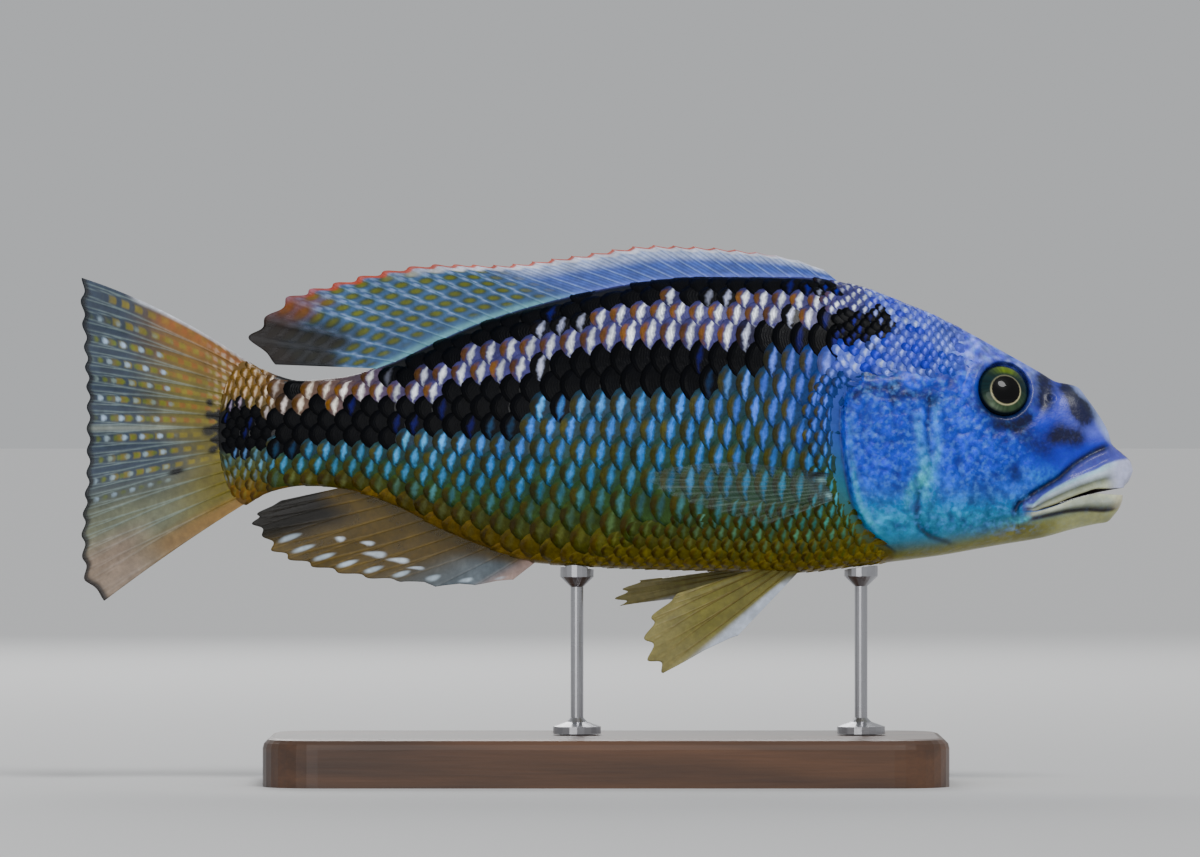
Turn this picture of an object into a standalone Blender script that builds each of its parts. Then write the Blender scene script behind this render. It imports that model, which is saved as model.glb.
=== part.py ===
# A Malawi hawk, a long-headed cichlid of Lake Malawi, life size and still, on a plain display stand.
#
# Every place on the fish is given in millimetres in its side view, as (behind, height): how far behind
# the snout tip it lies, and how high above the level of the body's axis. The fish faces +X.
import math

import bmesh
import bpy
import numpy as np
from mathutils import Matrix, Vector

MM = 0.001
GAP = 0.3
TOTAL_LENGTH = 263.5
AXIS_LEVEL = 82.0
FAR = 40.0
SIDES = {"right": -1.0, "left": 1.0}

# The body's outline and breadth, each a smooth curve over the distance behind the snout tip.
BACK = [(0, -4), (0.65, -1.7), (2.75, 0.4), (5.3, 2.8), (6.3, 6), (8.6, 10.1), (11.5, 14.2), (14, 17.1),
        (16.3, 17.8), (19, 18.3), (23.4, 20.8), (33, 26.2), (47, 33.7), (59, 39), (71, 43.2), (84, 44.9),
        (107, 45), (124.5, 43.4), (143, 39.6), (162, 34), (174, 28.9), (186, 23.3), (198, 19.8),
        (208, 19), (216, 21), (222, 24)]
BELLY = [(0, -4), (1, -6.4), (2.4, -8.3), (2.8, -11.8), (4.5, -14.8), (6.6, -16.9), (9.5, -17.4),
         (14.5, -18.5), (23.4, -20.9), (33, -22.5), (50, -25.5), (68, -28), (84, -29.7), (110, -29.2),
         (133, -28.5), (148, -27.4), (162, -23.4), (172, -19.4), (182.5, -14), (190, -10.8),
         (198, -8.8), (207, -8.1), (215, -9.4), (222, -12.9)]
HALF_BREADTH = [(0, 0), (0.65, 1.8), (1.6, 3), (3, 4.1), (6, 5.3), (12, 6.7), (20, 8.7), (33, 11.7),
                (45, 14), (60, 15.9), (74, 16.5), (92, 16.5), (110, 16), (130, 14.6),
                (150, 12.3), (170, 9.2), (185, 6.8), (200, 4.9), (212, 3.5), (222, 2.5)]
BROADEST = [(0, -4), (3, -6), (33, -6), (60, -3), (90, -1), (130, 0.5), (170, 3), (200, 5), (222, 5.5)]
CROWN_SHARPNESS = [(0, 1), (20, 1.15), (33, 1.2), (110, 1.3), (180, 1.2), (222, 1)]
KEEL_SHARPNESS = [(0, 1), (33, 0.8), (84, 0.72), (130, 0.8), (180, 1), (222, 1)]
TAIL_SWING = 6.0
SWING_START = 95.0
BODY_STEPS = 20

# The mouth: the line where the lips meet, and how thick each lip is along it.
GAPE = [(-3, -9.1), (5.3, -9.1), (9, -9), (12.8, -9.9), (16.5, -11.1), (20, -12.5), (24.5, -13.9)]
MOUTH_CORNER = 24.5
OPEN_AT_FRONT = 1.9
UPPER_LIP = [(0, 6), (5, 4.4), (12, 3.4), (20, 2.2), (24.5, 1.4)]
LOWER_LIP = [(0, 4), (5, 3.4), (12, 3), (20, 2.2), (24.5, 1.4)]
LIP_RELIEF = 0.9
MAXILLA_LINE = [(-4, 10), (2, 5), (5.5, 2.9), (12.8, -0.2), (16.5, -2.8), (20, -6), (23.8, -8.7),
                (27.5, -11), (29.6, -13.6)]
JAW_LINE = [(24.5, -13.9), (29.6, -15.6), (38, -17.4), (43, -20.5), (45, -34)]

# The eye, the nostrils and the gill covers.
EYE = (32.5, 16.8)
EYE_RADIUS = 6.5
EYE_DEPTH = 3.6
EYE_SUNK = 1.5
LID_WIDTH = 1.1
NOSTRIL = (20.8, 14.6)
NOSTRIL_RADIUS = 0.8
GILL_SLIT = [(64, 60), (64, 22), (68.5, 19.2), (72, 15), (73.4, 9), (72.8, 0.8), (70.6, -11.2),
             (66.5, -18.8), (60, -23.8), (53, -27), (48, -40)]
COVER_REAR = [(61, 21.5), (68.5, 19.2), (72, 15), (73.4, 9), (72.8, 0.8), (70.6, -11.2), (66.5, -18.8),
              (60, -23.8)]
COVER_FRONT = [(49.2, 17.5), (50.5, 9.5), (52.9, 0.8), (54.2, -8.3), (55, -14), (53.8, -18.5), (51.5, -21)]
COVER_THICKNESS = 2.6
COVER_RELIEF = 0.7

# Where the body is parted behind the gill slit, and where it ends.
STALK_START = 186.0
BODY_END = 222.0

# The fins: where each ray grows from and where it ends, with the first ray foremost.
DORSAL_ROOT = (72.5, 187.5)
DORSAL_TIPS = [(0, 77.5, 46.4), (1, 84, 48.7), (3, 94.5, 50.8), (6, 110, 52.2), (8, 120, 52.5),
               (12, 140.5, 49.8), (16, 160, 47.6), (19, 174.5, 47.7), (21, 187, 46.1),
               (23, 199.5, 43.1), (25, 211.5, 39.6), (26, 217, 34.6), (27, 221.3, 29.4),
               (28, 214.5, 22.6)]
DORSAL_SPINES = 17
DORSAL_RAYS = 29
ANAL_ROOT = (148.5, 196.5)
ANAL_TIPS = [(0, 155, -31.2), (1, 164.5, -32.6), (2, 174.5, -33), (3, 183, -31.8), (4, 191, -30.9),
             (6, 205, -28.1), (8, 215.5, -24), (9, 217.8, -20.4), (10, 220.4, -17.2), (11, 219, -14.6),
             (12, 213, -11.4)]
ANAL_RAYS = 13
CAUDAL_ROOT = [(0, 222.5, 23.4), (15, 222.5, -12.4)]
CAUDAL_TIPS = [(0, 263.2, 44.4), (1, 263.4, 38.5), (3, 262.6, 27), (6, 261.9, 12), (9, 262, -4.5),
               (12, 263.2, -20), (14, 262.6, -31), (15, 257.5, -36.6)]
CAUDAL_LIFT = [(0, 2.3), (3, 1.2), (8, 0.2), (12, 0.3), (15, 0.8)]
CAUDAL_RAYS = 16
PECTORAL_RAYS = 13
PECTORAL_ROOT = [(0, 75.5, -3.0), (6, 76, -7.8), (12, 76.5, -12.5)]
MEMBRANE = 0.3
RAY_RELIEF = 0.32
SPINE_RELIEF = 0.42

# The stand.
BASE_SIZE = (170.0, 76.0, 12.0)
BASE_CORNER = 14.0
ROD_RADIUS = 1.6
RODS = {"front": 68.0, "rear": 139.0}
FOOT_RADIUS = 6.0
FOOT_HEIGHT = 3.0
SADDLE_RADIUS = 4.2
SADDLE_HEIGHT = 3.0


def curve_through(points):
    """A smooth function of one number that passes through the points and doesn't overshoot between them."""
    x, y = np.array(points, float).T
    slope = np.diff(y) / np.diff(x)
    tangent = np.zeros_like(y)
    same_way = slope[:-1] * slope[1:] > 0
    tangent[1:-1][same_way] = (2 * slope[:-1] * slope[1:])[same_way] / (slope[:-1] + slope[1:])[same_way]
    tangent[0], tangent[-1] = slope[0], slope[-1]

    def value(at):
        at = np.clip(np.asarray(at, float), x[0], x[-1])
        i = np.clip(np.searchsorted(x, at, side="right") - 1, 0, len(slope) - 1)
        span = x[i + 1] - x[i]
        t = (at - x[i]) / span
        return ((1 + 2 * t) * (1 - t) ** 2 * y[i] + t * (1 - t) ** 2 * span * tangent[i]
                + t * t * (3 - 2 * t) * y[i + 1] - t * t * (1 - t) * span * tangent[i + 1])

    return value


back, belly, half_breadth = map(curve_through, (BACK, BELLY, HALF_BREADTH))
broadest, crown, keel = map(curve_through, (BROADEST, CROWN_SHARPNESS, KEEL_SHARPNESS))
gape, upper_lip, lower_lip, maxilla_line = map(curve_through, (GAPE, UPPER_LIP, LOWER_LIP, MAXILLA_LINE))


def smooth_step(t):
    t = np.clip(t, 0, 1)
    return t * t * (3 - 2 * t)


def swing(behind):
    """How far the body leans to its left at this distance, as the tail swings over in an easy curve."""
    return TAIL_SWING * (np.clip(behind - SWING_START, 0, None) / (TOTAL_LENGTH - SWING_START)) ** 2


def place(behind, height, across=0.0):
    """Points of the side view, at this distance across from the body's middle, as points of the model."""
    behind, height, across = np.broadcast_arrays(behind, height, across)
    points = np.stack([TOTAL_LENGTH / 2 - behind, across + swing(behind), AXIS_LEVEL + height], axis=-1)
    return points.astype(float) * MM


def relief(behind, height):
    """How far the lips, the jaw fold and the gill cover stand out from the plain flank, in mm."""
    above = height - gape(behind)
    on_mouth = smooth_step((MOUTH_CORNER + 2 - behind) / 4)
    upper = np.sin(math.pi * np.clip(above / upper_lip(behind), 0, 1))
    lower = np.sin(math.pi * np.clip(-above / lower_lip(behind), 0, 1))
    fold = np.exp(-(((height - maxilla_line(behind)) / 0.9) ** 2)) * (behind < 30) * (behind > 5)
    inside = 1 - ((behind - 61) / 13) ** 2 - ((height + 1) / 21.5) ** 2
    return on_mouth * LIP_RELIEF * (upper + lower) - 0.5 * fold + COVER_RELIEF * smooth_step(2.2 * inside)


def half_ring(behind, steps, grow=0.0):
    """Heights and half breadths round one side of the body at this distance, from the back to the belly."""
    angle = np.linspace(0, math.pi, steps + 1)
    middle = broadest(behind)
    upward = np.cos(angle) >= 0
    reach = np.where(upward, back(behind) + grow - middle, middle - belly(behind) + grow)
    height = middle + reach * np.cos(angle)
    sharpness = np.where(upward, crown(behind), keel(behind))
    breadth = (half_breadth(behind) + grow) * np.sin(angle).clip(0) ** sharpness
    breadth += relief(behind, height) * np.sqrt(np.clip(breadth / 3, 0, 1))
    return height, breadth.clip(0)


def flank_breadth(behind, height, grow=0.0):
    """How far the body's surface is from its middle plane at this point of the side view, in mm."""
    middle = broadest(behind)
    upward = height >= middle
    reach = np.where(upward, back(behind) + grow - middle, middle - belly(behind) + grow)
    share = np.clip(np.abs(height - middle) / reach, 0, 1)
    sharpness = np.where(upward, crown(behind), keel(behind))
    breadth = (half_breadth(behind) + grow) * (1 - share ** 2) ** (sharpness / 2)
    return breadth + relief(behind, height) * np.sqrt(np.clip(breadth / 3, 0, 1))


def finish_object(name, mesh, material):
    made = bpy.data.objects.new(name, mesh)
    bpy.context.scene.collection.objects.link(made)
    made.data.materials.append(material)
    return made


def mesh_object(name, points, faces, material):
    mesh = bpy.data.meshes.new(name)
    mesh.from_pydata([tuple(map(float, point)) for point in points], [], faces)
    return finish_object(name, mesh, material)


def body_object(name, material, steps, stations, grow=0.0):
    """The whole body, snout to tail root, as rings of points bridged into one closed surface."""
    rings = []
    for behind in stations:
        height, breadth = half_ring(behind, steps, grow)
        right = place(behind, height, -breadth)
        left = place(behind, height, breadth)
        rings.append(np.concatenate([right, left[-2:0:-1]]))
    around = 2 * steps
    points = [point for ring in rings for point in ring]
    faces = []
    for i in range(len(rings) - 1):
        for j in range(around):
            k = (j + 1) % around
            a, b, c, d = i * around + j, i * around + k, (i + 1) * around + k, (i + 1) * around + j
            faces += [(a, b, c), (a, c, d)] if j < steps else [(a, b, d), (b, c, d)]
    tip = len(points)
    points.append(place(-grow, back(0.0))[()])
    faces += [(tip, (j + 1) % around, j) for j in range(around)]
    last = (len(rings) - 1) * around
    end = len(points)
    points.append(place(stations[-1], 5.5)[()])
    faces += [(end, last + j, last + (j + 1) % around) for j in range(around)]
    return outward(mesh_object(name, points, faces, material))


def outward(obj):
    """Turns every face of a closed mesh outwards."""
    work = bmesh.new()
    work.from_mesh(obj.data)
    bmesh.ops.recalc_face_normals(work, faces=work.faces)
    if work.calc_volume(signed=True) < 0:
        bmesh.ops.reverse_faces(work, faces=work.faces)
    work.to_mesh(obj.data)
    work.free()
    return obj


def boolean(obj, others, operation):
    """Joins the others to obj, or cuts them from it, and applies the result. The others are removed."""
    tools = bpy.data.collections.new("tools")
    for other in others:
        tools.objects.link(other)
    modifier = obj.modifiers.new("boolean", "BOOLEAN")
    modifier.operation = operation
    modifier.solver = "EXACT"
    modifier.operand_type = "COLLECTION"
    modifier.collection = tools
    take_result(obj, modifier)
    for other in others:
        bpy.data.objects.remove(other)
    bpy.data.collections.remove(tools)
    return obj


def overlap_of(obj, other):
    """The part of obj that lies inside other. The other is removed."""
    modifier = obj.modifiers.new("boolean", "BOOLEAN")
    modifier.operation = "INTERSECT"
    modifier.solver = "EXACT"
    modifier.object = other
    take_result(obj, modifier)
    bpy.data.objects.remove(other)
    return obj


def take_result(obj, modifier):
    """Applies a modifier and splits what it made into triangles, so that the next cut meets flat faces."""
    mesh = bpy.data.meshes.new_from_object(obj.evaluated_get(bpy.context.evaluated_depsgraph_get()))
    obj.modifiers.remove(modifier)
    work = bmesh.new()
    work.from_mesh(mesh)
    bmesh.ops.dissolve_degenerate(work, dist=1e-6, edges=work.edges)
    bmesh.ops.triangulate(work, faces=work.faces)
    work.to_mesh(mesh)
    work.free()
    obj.data = mesh


def copy_of(obj, name):
    made = obj.copy()
    made.data = obj.data.copy()
    made.name = name
    bpy.context.scene.collection.objects.link(made)
    return made


def loose_parts(obj):
    """Splits a mesh into its closed surfaces, largest first, as new bmesh copies."""
    work = bmesh.new()
    work.from_mesh(obj.data)
    groups, seen = [], set()
    for start in work.verts:
        if start.index in seen:
            continue
        group, waiting = set(), [start]
        while waiting:
            vertex = waiting.pop()
            if vertex.index in seen:
                continue
            seen.add(vertex.index)
            group.add(vertex.index)
            waiting += [edge.other_vert(vertex) for edge in vertex.link_edges]
        groups.append(group)
    work.free()
    parts = []
    for group in groups:
        part = bmesh.new()
        part.from_mesh(obj.data)
        bmesh.ops.delete(part, geom=[v for v in part.verts if v.index not in group], context="VERTS")
        parts.append(part)
    return sorted(parts, key=lambda part: -abs(part.calc_volume()))


def keep_largest(obj):
    parts = loose_parts(obj)
    parts[0].to_mesh(obj.data)
    for part in parts:
        part.free()
    return obj


def prism(name, outline, near, far):
    """A side-view outline drawn out across the body, between two distances from its middle plane."""
    first = place(*np.array(outline, float).T, near)
    second = place(*np.array(outline, float).T, far)
    count = len(outline)
    faces = [tuple(range(count)), tuple(range(2 * count - 1, count - 1, -1))]
    faces += [(i, i + count, (i + 1) % count + count, (i + 1) % count) for i in range(count)]
    return outward(mesh_object(name, [*first, *second], faces, PLAIN))


def slab(name, path, widths):
    """A thin cut that follows a path of the side view, with a width for each of its points."""
    path, half = np.array(path, float), np.array(widths, float)[:, None] / 2
    along = np.gradient(path, axis=0)
    along /= np.linalg.norm(along, axis=1)[:, None]
    across = np.stack([-along[:, 1], along[:, 0]], axis=1)
    outline = np.concatenate([path + across * half, (path - across * half)[::-1]])
    return prism(name, outline, -FAR, FAR)


def path_through(points, step):
    """Points a step apart along a smooth curve through a list of side-view points."""
    points = np.array(points, float)
    travelled = np.concatenate([[0], np.cumsum(np.linalg.norm(np.diff(points, axis=0), axis=1))])
    behind = curve_through(list(zip(travelled, points[:, 0])))
    height = curve_through(list(zip(travelled, points[:, 1])))
    at = np.linspace(0, travelled[-1], max(2, round(travelled[-1] / step)))
    return np.stack([behind(at), height(at)], axis=1)


def cover_block(name, side, grow):
    """The block of one flank that holds a gill cover, between its margins, grown all round."""
    rows, columns = 9, 7
    rear = path_through(COVER_REAR, 0.5)
    front = path_through(COVER_FRONT, 0.5)
    rear = rear[np.linspace(0, len(rear) - 1, rows).astype(int)]
    front = front[np.linspace(0, len(front) - 1, rows).astype(int)]
    rear[:, 0] += grow
    front[:, 0] -= grow
    for margin in (front, rear):
        margin[0, 1] += grow
        margin[-1, 1] -= grow
    share = np.linspace(0, 1, columns)[None, :, None]
    view = front[:, None] + (rear - front)[:, None] * share
    deep = flank_breadth(view[..., 0], view[..., 1]) - COVER_THICKNESS - grow
    inner = place(view[..., 0], view[..., 1], side * deep)
    outer = place(view[..., 0], view[..., 1], side * FAR)
    return outward(double_sheet(name, outer, inner, PLAIN))


def double_sheet(name, first, second, material):
    """A closed solid between two grids of points, split into triangles alike on both faces."""
    rows, columns = first.shape[:2]
    count = rows * columns
    points = [*first.reshape(-1, 3), *second.reshape(-1, 3)]
    faces = []
    for i in range(rows - 1):
        for j in range(columns - 1):
            a, b = i * columns + j, i * columns + j + 1
            c, d = a + columns, b + columns
            faces += [(a, b, d), (a, d, c)]
            faces += [(count + a, count + d, count + b), (count + a, count + c, count + d)]
    rim = [*range(columns), *range(2 * columns - 1, count, columns),
           *range(count - 2, count - columns - 1, -1), *range(count - 2 * columns, 0, -columns)]
    for a, b in zip(rim, rim[1:] + rim[:1]):
        faces += [(a, count + b, b), (a, count + a, count + b)]
    return mesh_object(name, points, faces, material)


def ellipsoid(name, centre, radii, turn, material, segments=20, rings=10):
    made = bmesh.new()
    bmesh.ops.create_uvsphere(made, u_segments=segments, v_segments=rings, radius=1)
    stretch = Matrix.Diagonal(Vector(radii) * MM).to_4x4()
    made.transform(Matrix.Translation(centre) @ turn.to_4x4() @ stretch)
    mesh = bpy.data.meshes.new(name)
    made.to_mesh(mesh)
    made.free()
    return finish_object(name, mesh, material)


def ring_band(name, centre, radius, thickness, turn, material):
    """A round rim of skin, lying flat in the plane that turn gives."""
    around, about = 24, 6
    points, faces = [], []
    for i in range(around):
        a = 2 * math.pi * i / around
        for j in range(about):
            b = 2 * math.pi * j / about
            out = radius + thickness * math.cos(b)
            local = Vector((out * math.cos(a), out * math.sin(a), thickness * math.sin(b))) * MM
            points.append(centre + turn @ local)
            k, n = (i + 1) % around, (j + 1) % about
            faces.append((i * about + j, k * about + j, k * about + n, i * about + n))
    return outward(mesh_object(name, points, faces, material))


def flank_frame(spot, side):
    """A point on the flank, and the turn that points local Z out of the skin there."""
    behind, height = spot
    step = 3.0
    here = flank_breadth(behind, height)
    slope_back = (flank_breadth(behind + step, height) - flank_breadth(behind - step, height)) / (2 * step)
    slope_up = (flank_breadth(behind, height + step) - flank_breadth(behind, height - step)) / (2 * step)
    normal = Vector((float(slope_back), side, -float(slope_up))).normalized()
    turn = normal.to_track_quat("Z", "Y").to_matrix()
    return Vector(place(behind, height, side * here)[()]), turn, normal


def make_material(name, colour, roughness, metallic=0.0):
    made = bpy.data.materials.new(name)
    made.use_nodes = True
    shader = made.node_tree.nodes["Principled BSDF"]
    shader.inputs["Base Color"].default_value = (*colour, 1)
    shader.inputs["Roughness"].default_value = roughness
    shader.inputs["Metallic"].default_value = metallic
    made.diffuse_color = (*colour, 1)
    return made


def ray_columns(first, last, relief_height):
    """Where each column of a fin's sheet runs, counted in rays, and how far it stands out as a ray."""
    half_width = 0.2
    at, raised = [], []
    for ray in range(first, last + 1):
        for offset, height in ((-half_width, 0.0), (0.0, relief_height), (half_width, 0.0)):
            if first <= ray + offset <= last:
                at.append(ray + offset)
                raised.append(height)
        if ray < last:
            at.append(ray + 0.5)
            raised.append(0.0)
    return np.array(at), np.array(raised)


def fin(name, root, tip, rays, material, relief_height, rows=5, notch=0.05, lift=None, root_swell=0.9,
        sink=1.5):
    """A fin as one sheet from its root to its edge, thickened along each ray and notched between them.

    root and tip give points (n, 3) in model space, in mm, for ray numbers, and lift gives how far each
    ray's middle bows upwards.
    """
    at, raised = ray_columns(rays[0], rays[1], relief_height)
    start, end = root(at), tip(at)
    between = np.abs(at - np.round(at)) * 2
    end = start + (end - start) * (1 - notch * between)[:, None]
    direction = (end - start) / np.linalg.norm(end - start, axis=1)[:, None]
    start = start - direction * sink
    down = np.linspace(0, 1, rows)[:, None, None]
    middle = start + (end - start) * down
    flat = middle.reshape(-1, 3) - middle.mean(axis=(0, 1))
    facing = np.linalg.svd(flat, full_matrices=False)[2][2]
    normal = facing - direction * (direction @ facing)[:, None]
    normal /= np.linalg.norm(normal, axis=1)[:, None]
    if lift is not None:
        middle = middle + np.array([0.0, 0.0, 1.0]) * lift(at)[None, :, None] * (4 * down * (1 - down))
    fade = 1 - 0.65 * down[:, :, 0]
    half = MEMBRANE + raised * fade + root_swell * (1 - down[:, :, 0]) ** 3
    half[-1] *= 0.7
    offset = normal[None] * half[..., None]
    made = double_sheet(name, (middle + offset) * MM, (middle - offset) * MM, material)
    return outward(made)


def midline_points(behind, height):
    """Points on the fish's middle plane, in mm of model space."""
    return place(behind, height) / MM


def tip_curve(tips):
    """A fin's edge as a function of ray number, in the middle plane."""
    behind = curve_through([(ray, b) for ray, b, _ in tips])
    height = curve_through([(ray, h) for ray, _, h in tips])
    return lambda ray: midline_points(behind(ray), height(ray))


def seat(obj, others=()):
    """Cuts a piece back to a gap from the body's skin, and from any other grown pieces."""
    grown = body_object("grown_body", PLAIN, BODY_STEPS, [*body_stations(), BODY_END + GAP], GAP)
    boolean(obj, [grown, *others], "DIFFERENCE")
    return keep_largest(obj)


def body_stations():
    """Distances behind the snout at which the body's rings lie, closest together round the mouth."""
    snout = [34 * (k / 17) ** 1.6 for k in range(1, 18)]
    head = np.arange(38, 75, 4)
    trunk = np.linspace(78, BODY_END, 21)
    return [*snout, *head, *trunk]


def build_body(flesh):
    """The body with its gill covers lifted off, cut into head, jaws, trunk and tail stalk."""
    whole = body_object("whole", flesh, BODY_STEPS, body_stations())
    for side, sign in SIDES.items():
        cover = copy_of(whole, "gill_cover_" + side)
        overlap_of(cover, cover_block("block", sign, -0.15))
        keep_largest(cover)
    gape_at = np.linspace(-3, MOUTH_CORNER, 12)
    opening = GAP + (OPEN_AT_FRONT - GAP) * np.clip(1 - (gape_at - 2) / 19, 0, 1)
    jaw_path = path_through(JAW_LINE, 3)
    mouth = np.concatenate([np.stack([gape_at, gape(gape_at)], axis=1), jaw_path[1:]])
    widths = np.concatenate([opening, np.full(len(jaw_path) - 1, GAP)])
    upper = np.concatenate([path_through(MAXILLA_LINE, 2.5), [(29.7, -15.6)]])
    slit = path_through(GILL_SLIT, 3)
    stalk = np.array([(STALK_START, 50.0), (STALK_START, -50.0)])
    cuts = [slab("mouth_cut", mouth, widths), slab("maxilla_cut", upper, np.full(len(upper), GAP)),
            slab("gill_cut", slit, np.full(len(slit), GAP)), slab("stalk_cut", stalk, [GAP, GAP])]
    cuts += [cover_block("pocket", sign, 0.25) for sign in SIDES.values()]
    for cut in cuts:
        boolean(whole, [cut], "DIFFERENCE")
    places = {"trunk": (120, 5), "head": (35, 0), "tail_stalk": (205, 5), "lower_jaw": (20, -17),
              "upper_jaw": (10, -5)}
    parts = loose_parts(whole)[:len(places)]
    for part in parts:
        centre = sum((v.co for v in part.verts), Vector()) / len(part.verts)
        name = min(places, key=lambda n: (Vector(place(*places[n])[()]) - centre).length)
        mesh = bpy.data.meshes.new(name)
        part.to_mesh(mesh)
        part.free()
        finish_object(name, mesh, flesh)
        del places[name]
    bpy.data.objects.remove(whole)


def build_eyes(eye_material, flesh):
    """A flattened ball for each eye in a socket rimmed with skin, and a nostril pit before it."""
    head = bpy.data.objects["head"]
    sockets, rims, pits = [], [], []
    for side, sign in SIDES.items():
        surface, turn, normal = flank_frame(EYE, sign)
        centre = surface - normal * EYE_SUNK * MM
        ellipsoid("eye_" + side, centre, (EYE_RADIUS, EYE_RADIUS, EYE_DEPTH), turn, eye_material)
        around = (EYE_RADIUS + GAP, EYE_RADIUS + GAP, EYE_DEPTH + GAP)
        sockets.append(ellipsoid("socket", centre, around, turn, PLAIN))
        rims.append(ring_band("lid", surface - normal * 0.4 * MM, EYE_RADIUS + 0.5, LID_WIDTH, turn, flesh))
        spot, turn, normal = flank_frame(NOSTRIL, sign)
        pits.append(ellipsoid("pit", spot, (NOSTRIL_RADIUS, NOSTRIL_RADIUS, 1.2), turn, PLAIN, 12, 6))
    boolean(head, rims, "UNION")
    boolean(head, sockets, "DIFFERENCE")
    boolean(head, pits, "DIFFERENCE")
    keep_largest(head)


def build_midline_fins(fin_material):
    """The dorsal fin in its spiny and soft parts, the anal fin and the tail fin."""
    last = DORSAL_RAYS - 1

    def dorsal_root(ray):
        behind = DORSAL_ROOT[0] + (DORSAL_ROOT[1] - DORSAL_ROOT[0]) * ray / last
        return midline_points(behind, back(behind))

    def anal_root(ray):
        behind = ANAL_ROOT[0] + (ANAL_ROOT[1] - ANAL_ROOT[0]) * ray / (ANAL_RAYS - 1)
        return midline_points(behind, belly(behind))

    dorsal_tip = tip_curve(DORSAL_TIPS)
    joint = DORSAL_SPINES - 1
    seat(fin("dorsal_fin_spiny", dorsal_root, dorsal_tip, (0, joint), fin_material, SPINE_RELIEF,
             rows=4, notch=0.1))
    seam = 0.1

    def soft_root(ray):
        return dorsal_root(ray + seam * (1 - (ray - joint) / (last - joint)))

    def soft_tip(ray):
        return dorsal_tip(ray + seam * (1 - (ray - joint) / (last - joint)))

    fin("caudal_fin", tip_curve(CAUDAL_ROOT), tip_curve(CAUDAL_TIPS), (0, CAUDAL_RAYS - 1), fin_material,
        RAY_RELIEF, rows=6, notch=0.02, lift=curve_through(CAUDAL_LIFT), root_swell=1.0, sink=0.0)
    seat(fin("dorsal_fin_soft", soft_root, soft_tip, (joint, last), fin_material, RAY_RELIEF))
    seat(fin("anal_fin", anal_root, tip_curve(ANAL_TIPS), (0, ANAL_RAYS - 1), fin_material, RAY_RELIEF))


def paired_fin(name, side, roots, tips, material, **options):
    """A fin of the pair, from lists of (ray, behind, height, distance out from the middle plane)."""
    def along(points):
        curves = [curve_through([(p[0], p[k]) for p in points]) for k in (1, 2, 3)]
        return lambda ray: place(curves[0](ray), curves[1](ray), side * curves[2](ray)) / MM

    return fin(name, along(roots), along(tips), (0, tips[-1][0]), material, RAY_RELIEF, **options)


def build_paired_fins(fin_material):
    """The pectoral fins on the flanks, and the pelvic fins, of which the right one hangs lower."""
    roots = [(0, 82, -28.6, 3), (5, 91, -28.6, 4.5)]
    hanging = [(0, 99, -45, 10), (1, 117.5, -54.2, 13), (2, 121.5, -51, 13.5), (3, 122.3, -45.5, 13),
               (4, 120.3, -40, 12), (5, 114, -34.5, 9.5)]
    trailing = [(0, 106, -36, 9), (1, 128.2, -38, 11), (2, 129.5, -36, 11), (3, 127.5, -33.6, 10),
                (4, 123, -31.6, 8.5), (5, 117, -30.9, 7)]
    seat(paired_fin("pelvic_fin_right", SIDES["right"], roots, hanging, fin_material, notch=0.04, rows=5))
    seat(paired_fin("pelvic_fin_left", SIDES["left"], roots, trailing, fin_material, notch=0.04, rows=5))
    last = PECTORAL_RAYS - 1
    fan_root = [(ray, b, h, float(flank_breadth(b, h)) + 1.1) for ray, b, h in PECTORAL_ROOT]
    fan_tips = [(0, 100, -1.6, 22), (1, 110, -2.2, 23.4), (2, 117, -3.2, 24.2), (3, 121.5, -4.6, 24.6),
                (4, 121.5, -6.4, 24.6), (5, 119, -8.4, 24.3), (8, 107, -13.2, 22.7),
                (last, 92, -17.2, 19.8)]
    for side, sign in SIDES.items():
        paired_fin("pectoral_fin_" + side, sign, fan_root, fan_tips, fin_material,
                   rows=5, notch=0.03, root_swell=0.3, sink=0.0)


def build_stand(wood, metal):
    """A flat base, and two short rods from it that hold the fish by its belly."""
    length, breadth, height = BASE_SIZE
    base = bmesh.new()
    bmesh.ops.create_cube(base, size=1)
    bmesh.ops.scale(base, vec=Vector(BASE_SIZE) * MM, verts=base.verts)
    bmesh.ops.translate(base, vec=(0, 0, height / 2 * MM), verts=base.verts)
    upright = [e for e in base.edges if abs((e.verts[0].co - e.verts[1].co).z) > height / 2 * MM]
    bmesh.ops.bevel(base, geom=upright, offset=BASE_CORNER * MM, segments=8, profile=0.5, affect="EDGES")
    top = [e for e in base.edges if min(v.co.z for v in e.verts) > (height - 0.1) * MM]
    bmesh.ops.bevel(base, geom=top, offset=2.5 * MM, segments=3, profile=0.5, affect="EDGES")
    mesh = bpy.data.meshes.new("stand_base")
    base.to_mesh(mesh)
    base.free()
    finish_object("stand_base", mesh, wood)
    for name, behind in RODS.items():
        x, y = place(behind, 0.0)[:2]
        foot = height + GAP
        top_of_rod = AXIS_LEVEL + float(belly(behind)) + 4
        profile = [(0, foot), (FOOT_RADIUS, foot), (FOOT_RADIUS, foot + FOOT_HEIGHT * 0.6),
                   (ROD_RADIUS + 1, foot + FOOT_HEIGHT), (ROD_RADIUS, foot + FOOT_HEIGHT + 1)]
        saddle = AXIS_LEVEL + float(belly(behind)) - GAP
        profile += [(ROD_RADIUS, saddle - SADDLE_HEIGHT - 1.5), (SADDLE_RADIUS, saddle - SADDLE_HEIGHT + 1),
                    (SADDLE_RADIUS, top_of_rod), (0, top_of_rod)]
        rod = turned("stand_rod_" + name, profile, (x, y), metal)
        seat(rod)


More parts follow.
